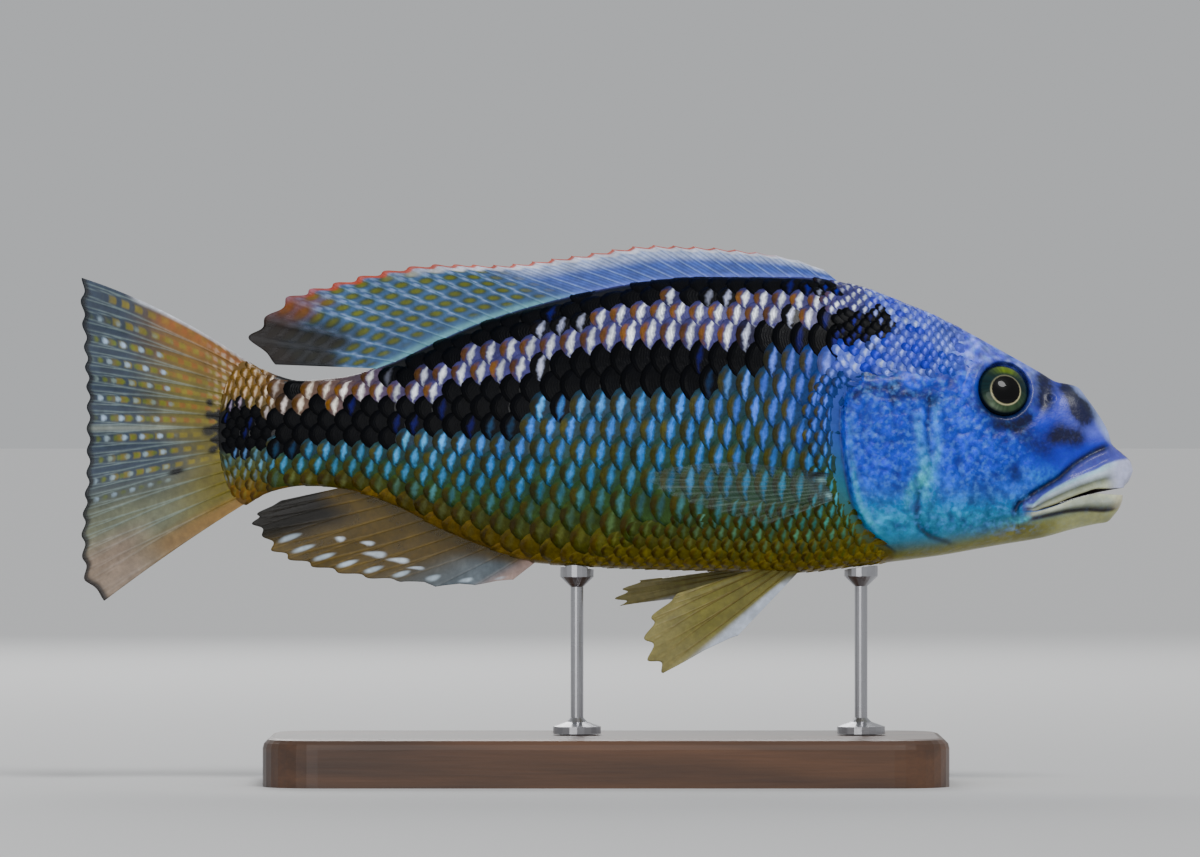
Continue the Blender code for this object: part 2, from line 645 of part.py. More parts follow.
def turned(name, profile, centre, material):
    """A profile of (radius, height) in mm turned round an upright line, and closed at both ends."""
    around = 20
    points, faces = [], []
    for radius, height in profile[1:-1]:
        for i in range(around):
            a = 2 * math.pi * i / around
            out = Vector((math.cos(a), math.sin(a), 0)) * radius * MM
            points.append(out + Vector((centre[0], centre[1], height * MM)))
    for j in range(len(profile) - 3):
        for i in range(around):
            k = (i + 1) % around
            faces.append((j * around + i, j * around + k, (j + 1) * around + k, (j + 1) * around + i))
    faces.append(tuple(range(around)))
    faces.append(tuple(range(len(points) - around, len(points))))
    return outward(mesh_object(name, points, faces, material))


def shade_smooth():
    for obj in bpy.context.scene.objects:
        obj.data.shade_smooth()
        obj.data.set_sharp_from_angle(angle=math.radians(40))


for old in list(bpy.data.objects):
    bpy.data.objects.remove(old)
PLAIN = make_material("plain", (0.5, 0.5, 0.5), 0.5)
blue_skin = make_material("blue_skin", (0.1, 0.25, 0.8), 0.35, 0.2)
fin_skin = make_material("fin_skin", (0.35, 0.45, 0.35), 0.35)
eye_glass = make_material("eye_glass", (0.02, 0.03, 0.03), 0.08)
walnut = make_material("walnut", (0.16, 0.09, 0.05), 0.45)
steel = make_material("steel", (0.6, 0.6, 0.6), 0.3, 1.0)
build_body(blue_skin)
build_eyes(eye_glass, blue_skin)
build_midline_fins(fin_skin)
build_paired_fins(fin_skin)
build_stand(walnut, steel)
shade_smooth()
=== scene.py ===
# %% [markdown]
# A Malawi hawk is a long-headed cichlid. This file dresses its plain solids as a museum model: one smooth
# skin, a coat of overlapping scales, rayed fins, glossy eyes and a wooden stand. It could be sculpted by
# hand, but a fish is so regular that formulas over its side view place every ray and scale more evenly.

# %% Load the frame
import math

import bmesh
import bpy
import numpy as np
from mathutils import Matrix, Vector


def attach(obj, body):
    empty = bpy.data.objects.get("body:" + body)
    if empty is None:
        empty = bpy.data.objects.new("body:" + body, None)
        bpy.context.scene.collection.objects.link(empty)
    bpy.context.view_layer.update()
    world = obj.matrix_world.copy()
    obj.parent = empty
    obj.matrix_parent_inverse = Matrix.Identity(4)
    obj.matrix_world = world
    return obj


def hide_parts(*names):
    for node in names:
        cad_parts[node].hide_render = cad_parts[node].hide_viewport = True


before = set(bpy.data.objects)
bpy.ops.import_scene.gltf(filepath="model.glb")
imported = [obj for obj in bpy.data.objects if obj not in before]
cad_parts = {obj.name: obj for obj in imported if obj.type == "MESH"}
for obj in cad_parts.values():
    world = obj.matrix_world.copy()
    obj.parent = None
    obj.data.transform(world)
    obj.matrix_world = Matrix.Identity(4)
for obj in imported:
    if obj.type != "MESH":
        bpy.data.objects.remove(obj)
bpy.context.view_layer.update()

# %% [markdown]
# Every place on the fish is given in millimetres in its side view: how far behind the snout tip it lies,
# and how high above the level of the body's axis. Smooth curves through a few such points give the
# outline. A cubic that never overshoots its points keeps a fish's long lines free of ripples.

# %% Helpers for curves and steps
MM = 0.001
TOTAL_LENGTH = 263.5
AXIS_LEVEL = 82.0
SIDES = {"right": -1.0, "left": 1.0}
random = np.random.default_rng(7)


def curve_through(points):
    """Piecewise cubic through (x, y) points, with harmonic-mean slopes so that it doesn't overshoot."""
    x, y = np.array(points, float).T
    slope = np.diff(y) / np.diff(x)
    tangent = np.zeros_like(y)
    same_way = slope[:-1] * slope[1:] > 0
    tangent[1:-1][same_way] = (2 * slope[:-1] * slope[1:])[same_way] / (slope[:-1] + slope[1:])[same_way]
    tangent[0], tangent[-1] = slope[0], slope[-1]

    def value(at):
        """The cubic of the span that a place lies in, or the end value beyond the ends."""
        at = np.clip(np.asarray(at, float), x[0], x[-1])
        i = np.clip(np.searchsorted(x, at, side="right") - 1, 0, len(slope) - 1)
        span = x[i + 1] - x[i]
        t = (at - x[i]) / span
        return ((1 + 2 * t) * (1 - t) ** 2 * y[i] + t * (1 - t) ** 2 * span * tangent[i]
                + t * t * (3 - 2 * t) * y[i + 1] - t * t * (1 - t) * span * tangent[i + 1])

    return value


def smooth_step(t):
    """0 below 0, 1 above 1, and 3t squared less 2t cubed between."""
    t = np.clip(t, 0, 1)
    return t * t * (3 - 2 * t)


def ramp(value, start, end):
    """A smooth step from 0 where value is start to 1 where it is end, whichever of the two is larger."""
    return smooth_step((value - start) / (end - start))


def between(value, low, high, soft):
    """1 where value lies between low and high, fading to 0 over soft outside each."""
    return smooth_step((value - low) / soft + 1) * smooth_step((high - value) / soft + 1)


def hill(distance, width):
    """A bell curve of height 1: e to the minus (distance / width) squared."""
    return np.exp(-((distance / width) ** 2))


print("a ramp from 0 to 1 is", float(ramp(0.2, 0.0, 1.0)), "at 0.2")

# %% The body's outline
BACK = [(0, -4), (0.65, -1.7), (2.75, 0.4), (5.3, 2.8), (6.3, 6), (8.6, 10.1), (11.5, 14.2), (14, 17.1),
        (16.3, 17.8), (19, 18.3), (23.4, 20.8), (33, 26.2), (47, 33.7), (59, 39), (71, 43.2), (84, 44.9),
        (107, 45), (124.5, 43.4), (143, 39.6), (162, 34), (174, 28.9), (186, 23.3), (198, 19.8),
        (208, 19), (216, 21), (222, 24)]
BELLY = [(0, -4), (1, -6.4), (2.4, -8.3), (2.8, -11.8), (4.5, -14.8), (6.6, -16.9), (9.5, -17.4),
         (14.5, -18.5), (23.4, -20.9), (33, -22.5), (50, -25.5), (68, -28), (84, -29.7), (110, -29.2),
         (133, -28.5), (148, -27.4), (162, -23.4), (172, -19.4), (182.5, -14), (190, -10.8),
         (198, -8.8), (207, -8.1), (215, -9.4), (222, -12.9)]
HALF_BREADTH = [(0, 0), (0.65, 1.8), (1.6, 3), (3, 4.1), (6, 5.3), (12, 6.7), (20, 8.7), (33, 11.7),
                (45, 14), (60, 15.9), (74, 16.5), (92, 16.5), (110, 16), (130, 14.6), (150, 12.3), (170, 9.2),
                (185, 6.8), (200, 4.9), (212, 3.5), (222, 2.5)]
BROADEST = [(0, -4), (3, -6), (33, -6), (60, -3), (90, -1), (130, 0.5), (170, 3), (200, 5), (222, 5.5)]
CROWN_SHARPNESS = [(0, 1), (20, 1.15), (33, 1.2), (110, 1.3), (180, 1.2), (222, 1)]
KEEL_SHARPNESS = [(0, 1), (33, 0.8), (84, 0.72), (130, 0.8), (180, 1), (222, 1)]
BODY_END = 222.0
TAIL_SWING = 6.0
SWING_START = 95.0

back, belly, broadest = map(curve_through, (BACK, BELLY, BROADEST))
crown, keel = map(curve_through, (CROWN_SHARPNESS, KEEL_SHARPNESS))
breadth_by_root = curve_through([(math.sqrt(b), w) for b, w in HALF_BREADTH])


def half_breadth(behind):
    """Half the body's breadth: a curve over the square root of the distance, so that the snout is round."""
    return breadth_by_root(np.sqrt(np.clip(behind, 0, None)))


def swing(behind):
    """How far the body leans to its left: it grows with the square of the distance past SWING_START."""
    return TAIL_SWING * (np.clip(behind - SWING_START, 0, None) / (TOTAL_LENGTH - SWING_START)) ** 2


def place(behind, height, across=0.0):
    """Side-view places, and distances out from the middle plane, as points of the model in metres."""
    behind, height, across = np.broadcast_arrays(behind, height, across)
    points = np.stack([TOTAL_LENGTH / 2 - behind, across + swing(behind), AXIS_LEVEL + height], axis=-1)
    return points.astype(float) * MM


print("body depth:", float(back(100.0) - belly(100.0)), "mm")
print("half breadth:", float(half_breadth(90.0)), "mm")

# %% [markdown]
# The skin's small forms are raised or sunk from the plain flank: the lips, the fold of the jaw, the gill
# cover with its free rear edge, the ridges before it, the rim of the eye and the nostril. Each is a bell
# curve or a step over the distance to a line drawn in the side view, and they are all added up.

# %% Lines of the face
GAPE = [(-3, -9.1), (5.3, -9.1), (9, -9), (12.8, -9.9), (16.5, -11.1), (20, -12.5), (24.5, -13.9)]
MOUTH_CORNER = 24.5
OPEN_AT_FRONT = 1.9
LIP_RIDGE = [(0, -1.2), (3.5, -1.6), (6.8, -2.6), (9.8, -4.1), (13.4, -5.5), (17.1, -7.1), (20.4, -8.8),
             (23.3, -10.7), (25.4, -12.6)]
MAXILLA_LINE = [(5.3, 2.6), (9.8, 0.8), (13.4, -1.2), (16.4, -3.4), (18.9, -5.6), (22.6, -7.8), (26.3, -10.1),
                (29.2, -12.3), (29.9, -14), (28.6, -15.7)]
LOWER_LIP_LINE = [(4, -13.2), (7.6, -13.8), (11.6, -13.6), (16, -13.9), (19.7, -14.6), (22.6, -15.2),
                  (26.3, -16)]
JAW_END_LINE = [(26.3, -16), (31, -16.4), (38, -17.6), (43, -20.5), (44.5, -25)]
COVER_EDGE = [(-24, 59.5), (-18.8, 66.5), (-11.2, 70.6), (0.8, 72.8), (9, 73.4), (15, 72), (19.2, 68.5)]
COVER_TOP_LINE = [(68.5, 19.2), (62, 20.6), (57.4, 22), (51, 21.5)]
COVER_INNER_LINE = [(71.2, 14.3), (66.6, 16.4), (62, 16.9), (58, 18)]
CHEEK_RIDGE = [(53.6, 14), (54.2, 8), (53.2, 0), (52.4, -4), (56.2, -9), (57.2, -15)]
CHEEK_GROOVE = [(50.8, 17), (51.8, 6.5), (51.4, -1.8), (54.2, -10), (54.6, -15.8), (51.8, -19.8),
                (43.8, -22.5)]
CHEEK_STREAK = [(49.2, 16), (49.8, 9), (49.2, 1), (50.6, -5)]
CHEEK_TOP_LINE = [(62, 13.5), (57, 15), (52, 14.5), (49.5, 12)]
CORNER_STREAK = [(25.5, -14.8), (28.5, -16.3), (32, -16)]
COVER_PALE_LINE = [(70.5, 13), (71.3, 6), (70.6, -2), (69, -11), (65, -18), (60, -22)]
EYE = (32.6, 16.4)
EYE_RADIUS = 6.6
NOSTRIL = (20.6, 14.2)
gape, cover_edge, lip_ridge = map(curve_through, (GAPE, COVER_EDGE, LIP_RIDGE))
lip_foot, upper_lip_edge = map(curve_through, (LOWER_LIP_LINE, MAXILLA_LINE[:8]))


def travelled_along(points):
    """How far along a chain of points each of them lies."""
    return np.concatenate([[0], np.cumsum(np.linalg.norm(np.diff(points, axis=0), axis=1))])


def path_through(points, step=0.4):
    """Side-view points about a step apart on a smooth curve through a few given ones."""
    points = np.array(points, float)
    travelled = travelled_along(points)
    at = np.linspace(0, travelled[-1], max(2, round(travelled[-1] / step)))
    curves = [curve_through(list(zip(travelled, points[:, k]))) for k in (0, 1)]
    return np.stack([curves[0](at), curves[1](at)], axis=1)


def distance_to(line, behind, height):
    """How far side-view places lie from a line, in mm, and how far along it (0 to 1) its nearest point is."""
    path = path_through(line)
    shape = np.shape(behind)
    spots = np.stack([np.ravel(behind), np.ravel(height)], axis=1)
    near = np.full(len(spots), 1e9)
    along = np.zeros(len(spots))
    for i, point in enumerate(path):
        distance = np.hypot(*(spots - point).T)
        closer = distance < near
        near[closer] = distance[closer]
        along[closer] = i / (len(path) - 1)
    return near.reshape(shape), along.reshape(shape)


def along_line(line, behind, height, width, end):
    """A bell curve across a drawn line, which fades out towards the line's two ends."""
    distance, along = distance_to(line, behind, height)
    return hill(distance, width) * (smooth_step(along / end) * smooth_step((1 - along) / end))


def from_eye_rim(behind, height, squash=1.0):
    """How far places of the side view lie outside the eye's rim."""
    return np.hypot(behind - EYE[0], (height - EYE[1]) * squash) - EYE_RADIUS


print("mouth corner:", float(gape(MOUTH_CORNER)), "mm high, gill cover ends at", float(cover_edge(0.0)), "mm")


# %% The small forms together
def relief(behind, height):
    """How far the surface stands out from the plain flank, in mm: the sum of all its small forms."""
    form = np.zeros(np.shape(behind))
    head = behind < 90
    b, h = behind[head], height[head]
    lips, ridge, under_lip = gape(b), lip_ridge(b), lip_foot(b)
    in_upper = (h > lips) * np.clip((h - lips) / np.maximum(ridge - lips, 0.3), 0, 1)
    in_lower = np.clip((lips - h) / np.maximum(lips - under_lip, 0.3), 0, 1)
    fade = ramp(b, MOUTH_CORNER + 1.5, MOUTH_CORNER - 1.5)
    lift = fade * (h > lips) * np.where(h < ridge, 1.05 * np.sin(0.5 * math.pi * in_upper) ** 0.6,
                                        1.05 * hill(h - ridge, 1.1))
    lift += 0.85 * fade * (h <= lips) * np.sin(math.pi * in_lower) ** 0.7 * (h > under_lip)
    distance, along = distance_to(MAXILLA_LINE, b, h)
    lift -= 0.75 * hill(distance, 0.75) * ramp(along, 1.02, 0.9)
    lift += 0.35 * hill(distance - 1.6, 1.1) * (h < upper_lip_edge(b)) * (b < 29)
    distance, along = distance_to(LOWER_LIP_LINE, b, h)
    lift -= 0.4 * hill(distance, 0.6) * ramp(along, 1, 0.8)
    edge = cover_edge(h)
    window = between(h, -21.5, 18.3, 3.0)
    lift += 0.85 * window * smooth_step((edge - b) / 0.9) * ramp(b, 47, 63)
    lift -= 0.7 * window * hill(np.maximum(b - edge - 0.25, 0), 1.6) * (b >= edge - 0.4)
    for line, depth, width, end in ((JAW_END_LINE, -0.2, 0.8, 0.1), (COVER_TOP_LINE, -0.45, 0.7, 0.15),
                                    (COVER_INNER_LINE, -0.3, 0.8, 0.15), (CHEEK_RIDGE, 0.35, 1.2, 0.15),
                                    (CHEEK_GROOVE, -0.4, 0.9, 0.15)):
        lift += depth * along_line(line, b, h, width, end)
    from_eye = from_eye_rim(b, h, 0.96)
    lift += 0.75 * hill(from_eye - 0.9, 1.1) - 0.25 * hill(from_eye - 3.6, 1.2)
    lift -= 4.5 * smooth_step(0.1 - from_eye)
    from_nostril = np.hypot(b - NOSTRIL[0], h - NOSTRIL[1])
    lift += 0.25 * hill(from_nostril - 1.1, 0.5) - 0.9 * hill(from_nostril, 0.7)
    form[head] = lift
    return form


def plain_flank(behind, height, inset=0.0):
    """How far the skin would be from the middle plane without its small forms: the breadth times
    (1 - r squared) to half the sharpness, with r the share of the way from the broadest level to the back
    or belly."""
    middle = broadest(behind)
    upward = height >= middle
    reach = np.where(upward, back(behind) - middle, middle - belly(behind)) - inset
    share = np.clip(np.abs(height - middle) / reach, 0, 1)
    sharpness = np.where(upward, crown(behind), keel(behind))
    return np.clip(half_breadth(behind) - inset, 0, None) * (1 - share ** 2) ** (sharpness / 2)


def flank(behind, height, inset=0.0):
    """How far the skin is from the middle plane, with the small forms on it."""
    plain = plain_flank(behind, height, inset)
    return plain + relief(behind, height) * np.sqrt(np.clip(plain / 3, 0, 1)) * (plain > 0)


print("breadth across the gill covers:", 2 * float(flank(np.array([65.0]), np.array([0.0]))[0]), "mm")

# %% [markdown]
# The skin is one surface made of rings. Behind the eye each ring is an upright slice of the body. In front
# of it the rings gather round the mouth instead, so that the last one is the rim of the lips, and a few more
# fold in behind it to close the mouth's hollow. Slices all the way would leave the lips as jagged steps.

# %% Rings of the skin
COLUMNS = 144
UPPER_COLUMNS = 98
FACE_START = 33.25
SCALED_INSET = 0.38
BARE_INSET = 0.08
TAIL_ROUND = 7.0
UPPER_LIP_FRONT = 2.3
LOWER_LIP_FRONT = 2.75
MOUTH_DEPTH = 19.0
MOUTH_ROWS = 8


def inset_at(behind):
    """How deep the skin lies under the outer form: a scale's depth on the trunk, next to none on the head."""
    return BARE_INSET + (SCALED_INSET - BARE_INSET) * ramp(behind, 44, 70)


def skin_point(behind, angle, lift=0.0):
    """Points a lift above the skin at these distances behind the snout and angles round the body.

    The height follows the angle's cosine and the breadth a power of its sine, plus the small forms. Past
    BODY_END both shrink with a quarter circle, which rounds off the tail's base."""
    at = np.minimum(behind, BODY_END)
    middle, inset, upward = broadest(at), inset_at(at), np.cos(angle) >= 0
    reach = np.where(upward, back(at) - middle, middle - belly(at)) - inset
    shrink = np.sqrt(1 - np.clip((behind - BODY_END) / TAIL_ROUND, 0, 0.98) ** 2)
    height = middle + (reach * shrink + lift) * np.cos(angle)
    sharpness = np.where(upward, crown(at), keel(at))
    plain = (half_breadth(at) - inset) * shrink * np.sin(angle).clip(0) ** sharpness
    across = plain + relief(behind, height) * np.sqrt(np.clip(plain / 3, 0, 1)) + lift * np.sin(angle).clip(0)
    return behind, height, across


def upright_slices(places):
    """One side of each upright slice, from the back to the belly, as (behind, height, across) rows."""
    behind, angle = np.meshgrid(places, np.linspace(0, math.pi, COLUMNS + 1), indexing="ij")
    slices = np.stack(skin_point(behind, angle), axis=-1)
    slices[:, [0, -1], 2] = 0
    slices[..., 2] = slices[..., 2].clip(0)
    return slices


print("a slice has", len(upright_slices([100.0])[0]), "points on one side")


# %% Curves and patches of the face
def along_path(path, shares):
    """Points at these shares of a path's length."""
    travelled = travelled_along(path)
    at = np.asarray(shares) * travelled[-1]
    return np.stack([np.interp(at, travelled, path[:, k]) for k in (0, 1)], axis=1)


def face_patch(section, rim, outline, crease, shares):
    """A grid between four side-view curves: a slice of the head, the rim of a lip, the outline between them
    on the middle plane, and the crease from the slice to the corner of the mouth.

    It is a Coons patch: the two blends between opposite curves, less the blend of the four corners."""
    s = np.asarray(shares)[:, None, None]
    t = np.linspace(0, 1, len(section))
    soft = (1 - np.cos(0.5 * math.pi * t))[None, :, None]
    first, last = along_path(outline, shares)[:, None], along_path(crease, shares)[:, None]
    grid = (1 - s) * section[None] + s * rim[None] + (1 - soft) * first + soft * last
    corners = ((1 - s) * ((1 - soft) * section[0] + soft * section[-1])
               + s * ((1 - soft) * rim[0] + soft * rim[-1]))
    return grid - corners


def outline_path(curve, reach_from, reach_to, steps=400):
    """Points of the back's or the belly's curve between two distances, closest together at the snout."""
    share = np.linspace(1, 0, steps) ** 2
    behind = reach_to + (reach_from - reach_to) * share
    return np.stack([behind, curve(behind)], axis=1)


def lip_rim(front, columns, way):
    """A lip's rim from its front to the mouth's corner: way is 1 for the upper lip and -1 for the lower."""
    t = np.linspace(0, 1, columns + 1)
    behind = front + (MOUTH_CORNER - front) * (1 - np.cos(0.5 * math.pi * t))
    opening = OPEN_AT_FRONT / 2 * np.clip(1 - (behind - 2) / 21, 0, 1)
    return np.stack([behind, gape(behind) + way * opening], axis=1)


lips_apart = lip_rim(UPPER_LIP_FRONT, 1, 1.0) - lip_rim(UPPER_LIP_FRONT, 1, -1.0)
print("the lips are", float(lips_apart[0, 1]), "mm apart at the front")


# %% Rings of the face and the mouth
def face_rings(shares):
    """One side of each ring of the face, from the slice at FACE_START to the rims of the lips."""
    inset = inset_at(FACE_START)
    section = upright_slices([FACE_START])[0, :, :2]
    crease = np.array([section[UPPER_COLUMNS], [MOUTH_CORNER, gape(MOUTH_CORNER)]])
    upper_rim = lip_rim(UPPER_LIP_FRONT, UPPER_COLUMNS, 1.0)
    lower_rim = lip_rim(LOWER_LIP_FRONT, COLUMNS - UPPER_COLUMNS, -1.0)
    round_tip = np.linspace(0, 1, 60) ** 2 * UPPER_LIP_FRONT
    over = np.concatenate([outline_path(back, FACE_START, 0.0),
                           np.stack([round_tip, belly(round_tip)], axis=1)[1:], upper_rim[:1]])
    over[:, 1] -= inset * ramp(over[:, 0], 3, 6)
    below = outline_path(belly, FACE_START, LOWER_LIP_FRONT)
    below[:, 1] += inset * ramp(below[:, 0], 3, 6)
    below = np.concatenate([below, lower_rim[:1]])
    upper = face_patch(section[:UPPER_COLUMNS + 1], upper_rim, over, crease, shares)
    lower = face_patch(section[:UPPER_COLUMNS - 1:-1], lower_rim, below, crease, shares)
    view = np.concatenate([upper, lower[:, -2::-1]], axis=1)
    across = flank(view[..., 0], view[..., 1], inset)
    across[:, [0, -1]] = 0
    return np.concatenate([view, across[..., None]], axis=2)


def mouth_rings(rim):
    """Rings that fold in behind the lips: the rim drawn towards a point inside the mouth, step by step."""
    share = (np.arange(1, MOUTH_ROWS + 1) / MOUTH_ROWS)[:, None] ** 1.3 * 0.9
    inner = np.array([MOUTH_DEPTH, gape(MOUTH_DEPTH), 0.0])
    rings = rim[None] + (inner - rim)[None] * share[..., None]
    rings[:, :, 1] += 0.35 * np.sign(rim[:, 1] - gape(rim[:, 0]) + 1e-9)[None] * np.sin(math.pi * share)
    rings[:, [0, -1], 2] = 0
    return rings


print("a ring of the face has", face_rings([0.0, 1.0]).shape[1], "points on one side")


# %% Meshes from grids of points
def closed_rings(half):
    """Each half ring with its mirror image, as whole rings of model points: down the right, up the left."""
    right = place(half[..., 0], half[..., 1], -half[..., 2])
    left = place(half[..., 0], half[..., 1], half[..., 2])
    return np.concatenate([right, left[:, -2:0:-1]], axis=1)


def grid_faces(rows, columns, around=True):
    """Four-cornered faces between neighbouring rows of a grid of points, closed round each row if asked."""
    i = np.arange(rows - 1)[:, None] * columns
    j = np.arange(columns if around else columns - 1)[None]
    k = (j + 1) % columns
    return np.stack([i + j, i + columns + j, i + columns + k, i + k], axis=-1).reshape(-1, 4)


def shell_faces(rows, columns):
    """Faces of a closed sheet of two such grids of points: one face, the wall round it, and the other."""
    quads = grid_faces(rows, columns, around=False)
    count = rows * columns
    rim = np.concatenate([np.arange(columns), np.arange(2 * columns - 1, count, columns),
                          np.arange(count - 2, count - columns - 1, -1),
                          np.arange(count - 2 * columns, 0, -columns)])
    after = np.roll(rim, -1)
    wall = np.stack([rim, after, after + count, rim + count], axis=1)
    return np.concatenate([quads, wall, quads[:, ::-1] + count])


def mesh_piece(name, points, quads, fans=(), smooth=True):
    """A mesh from arrays of points and four-cornered faces, and fans of faces from a point to a loop."""
    faces = quads.tolist()
    for centre, loop in fans:
        faces += np.stack([np.full(len(loop), centre), loop, np.roll(loop, -1)], axis=1).tolist()
    mesh = bpy.data.meshes.new(name)
    mesh.from_pydata(points, [], faces, shade_flat=not smooth)
    piece = bpy.data.objects.new(name, mesh)
    bpy.context.scene.collection.objects.link(piece)
    return piece


def ringed_piece(name, points, rows, columns):
    """A closed mesh of rings, whose last two points each close an end with a fan of faces."""
    ring = np.arange(columns)
    return mesh_piece(name, points, grid_faces(rows, columns),
                      [(rows * columns, ring), (rows * columns + 1, (rows - 1) * columns + ring[::-1])])


def store(piece, name, values):
    """Keeps a number or a colour for each point of a mesh, for its material to read."""
    kind, field = ("FLOAT_COLOR", "color") if np.ndim(values) == 2 else ("FLOAT", "value")
    layer = piece.data.attributes.new(name, kind, "POINT")
    if field == "color":
        values = np.concatenate([values, np.ones((len(values), 1))], axis=1)
    layer.data.foreach_set(field, np.asarray(values, np.float32).ravel())


print("a closed sheet of 3 by 4 points has", len(shell_faces(3, 4)), "faces")

# %% [markdown]
# Colour is worked out for each point of the side view, and both the skin and the scales ask the same
# function, so their markings agree. Light blue runs below a slanting black stripe, white and orange above
# it, and olive along the belly. The stripes' edges are curves. The head has its own smooth patches of blue.


# %% Mixing colours
def paint(colour):
    """A screen colour, three numbers up to 255, as the linear colour that shaders add up. A colour that is an
    array is linear already, and stays as it is."""
    if not isinstance(colour, tuple):
        return colour
    share = np.array(colour) / 255
    return np.where(share <= 0.04045, share / 12.92, ((share + 0.055) / 1.055) ** 2.4)


def blend_along(amount, *stops):
    """Colours along a scale of amounts, blended between stops of (amount, colour)."""
    places, colours = zip(*stops)
    return np.stack([np.interp(amount, places, [paint(c)[k] for c in colours]) for k in range(3)], axis=-1)


def mix(first, second, share):
    """A colour that goes from the first to the second as the share goes from 0 to 1."""
    return paint(first) + (paint(second) - paint(first)) * np.asarray(share)[..., None]


def coats(colour, *layers):
    """Coats of paint over a colour, one after another: each is a colour and the share of it that shows."""
    for tint, share in layers:
        colour = mix(colour, tint, share)
    return colour


print("middle grey as a linear colour:", paint((128, 128, 128)).round(3))

# %% Colours of the flank
STRIPE_TOP = [(59, 33.6), (62, 35.2), (67, 35.6), (73, 34.8), (81, 34), (89, 33), (98, 29.4), (108, 28.4),
              (118, 27.2), (128, 25.8), (138, 24.2), (151, 21), (163, 17.6), (174, 15), (188, 12.8),
              (208, 11.8), (226, 11)]
STRIPE_FOOT = [(59, 33.2), (62, 31.6), (67, 28.8), (73, 28), (81, 26.6), (89, 24.6), (96, 21.2), (102, 18.4),
               (113, 17), (128, 15), (143, 14), (151, 11.6), (153, 7.2), (165, 6.2), (180, 4.6), (208, 2.6),
               (226, 1)]
SADDLE_FOOT = [(72, 39.4), (83, 40.0), (98, 39.8), (108, 39.2), (121, 37.6), (133, 34.6), (143, 31.6),
               (153, 28.8), (166, 25), (174, 21), (184.5, 18.6), (188, 18.6)]
stripe_top, stripe_foot, saddle_foot = map(curve_through, (STRIPE_TOP, STRIPE_FOOT, SADDLE_FOOT))
WHITE_SCALE, LILAC_SCALE, CREAM_SCALE = (236, 244, 255), (112, 130, 255), (244, 228, 204)
SKY, BRIGHT_SKY = (44, 134, 255), (84, 186, 255)
TEAL, OLIVE, GOLD = (58, 116, 134), (72, 96, 48), (154, 132, 24)
ORANGE, MOSS, UMBER = (140, 92, 0), (84, 80, 8), (78, 60, 4)
INK, INDIGO = (3, 4, 8), (34, 34, 190)


def flank_colours(behind, height):
    """The light, the spot and the ground colour of a scale at each place of the flank."""
    above = smooth_step((height - 0.5 * (stripe_top(behind) + stripe_foot(behind))) / 2 + 0.5)
    down = np.clip((stripe_foot(behind) - height) / (stripe_foot(behind) - belly(behind)), 0, 1)
    rim = 0.9 * ramp(down, 0.66, 0.81) * ramp(behind, 135, 165)
    by_belly = ramp(down, 0.82, 0.97)
    low = blend_along(down, (0, BRIGHT_SKY), (0.12, SKY), (0.38, (48, 138, 228)), (0.56, TEAL),
                      (0.74, OLIVE), (0.88, (104, 98, 20)), (1, GOLD))
    low_front = blend_along(down, (0, LILAC_SCALE), (0.1, (80, 112, 250)), (0.42, (56, 112, 232)),
                            (0.62, (46, 150, 184)), (0.8, (58, 132, 108)), (0.93, (92, 98, 20)), (1, GOLD))
    high = coats(LILAC_SCALE, (mix(WHITE_SCALE, CREAM_SCALE, ramp(behind, 180, 210)), ramp(behind, 60, 68)))
    light = coats(low_front, (low, ramp(behind, 78, 123)),
                  ((92, 190, 204), 0.5 * ramp(behind, 150, 190) * ramp(down, 0.6, 0.3)),
                  (mix((88, 92, 52), (140, 112, 24), by_belly), rim), (high, above))
    low_spot = blend_along(down, (0, (86, 80, 30)), (0.4, MOSS), (0.75, UMBER), (1, (110, 88, 14)))
    low_ground = blend_along(down, (0, (32, 60, 84)), (0.35, (38, 72, 64)), (0.6, (44, 74, 34)),
                             (0.8, (64, 70, 8)), (1, (124, 106, 14)))
    high_ground = mix((66, 64, 120), (104, 80, 66), ramp(behind, 170, 210))
    ground = coats(low_ground, ((20, 50, 140), 0.7 * ramp(behind, 100, 75) * ramp(down, 0.6, 0.3)),
                   (mix((72, 66, 10), (124, 94, 14), by_belly), rim), (high_ground, above))
    on_tail = ramp(behind, 213, 221)
    tail_tint = blend_along(height, (-9, (116, 84, 20)), (-5, (92, 88, 22)), (0, (64, 84, 66)),
                            (10, (96, 92, 40)), (16, (122, 90, 30)))
    tail_light = blend_along(height, (-7, (122, 100, 30)), (-2, (86, 122, 128)), (6, (96, 130, 140)),
                             (11, (166, 156, 166)), (16, (176, 142, 106)))
    spot = coats(low_spot, (ORANGE, above), (tail_tint * 0.8, on_tail))
    return mix(light, tail_light, 0.8 * on_tail), spot, mix(ground, tail_tint, on_tail)


print("colours at mid flank:", [c.round(2) for c in flank_colours(np.array([120.0]), np.array([0.0]))])


# %% Patches and stripes
def mottle(behind, height):
    """A smooth patchy field from 0 to 1: the product of two bent waves, a few millimetres long."""
    return 0.5 + 0.5 * (np.sin(1.2 * behind + 1.7 * np.sin(0.9 * height))
                        * np.sin(1.4 * height + 1.6 * np.sin(0.8 * behind)))


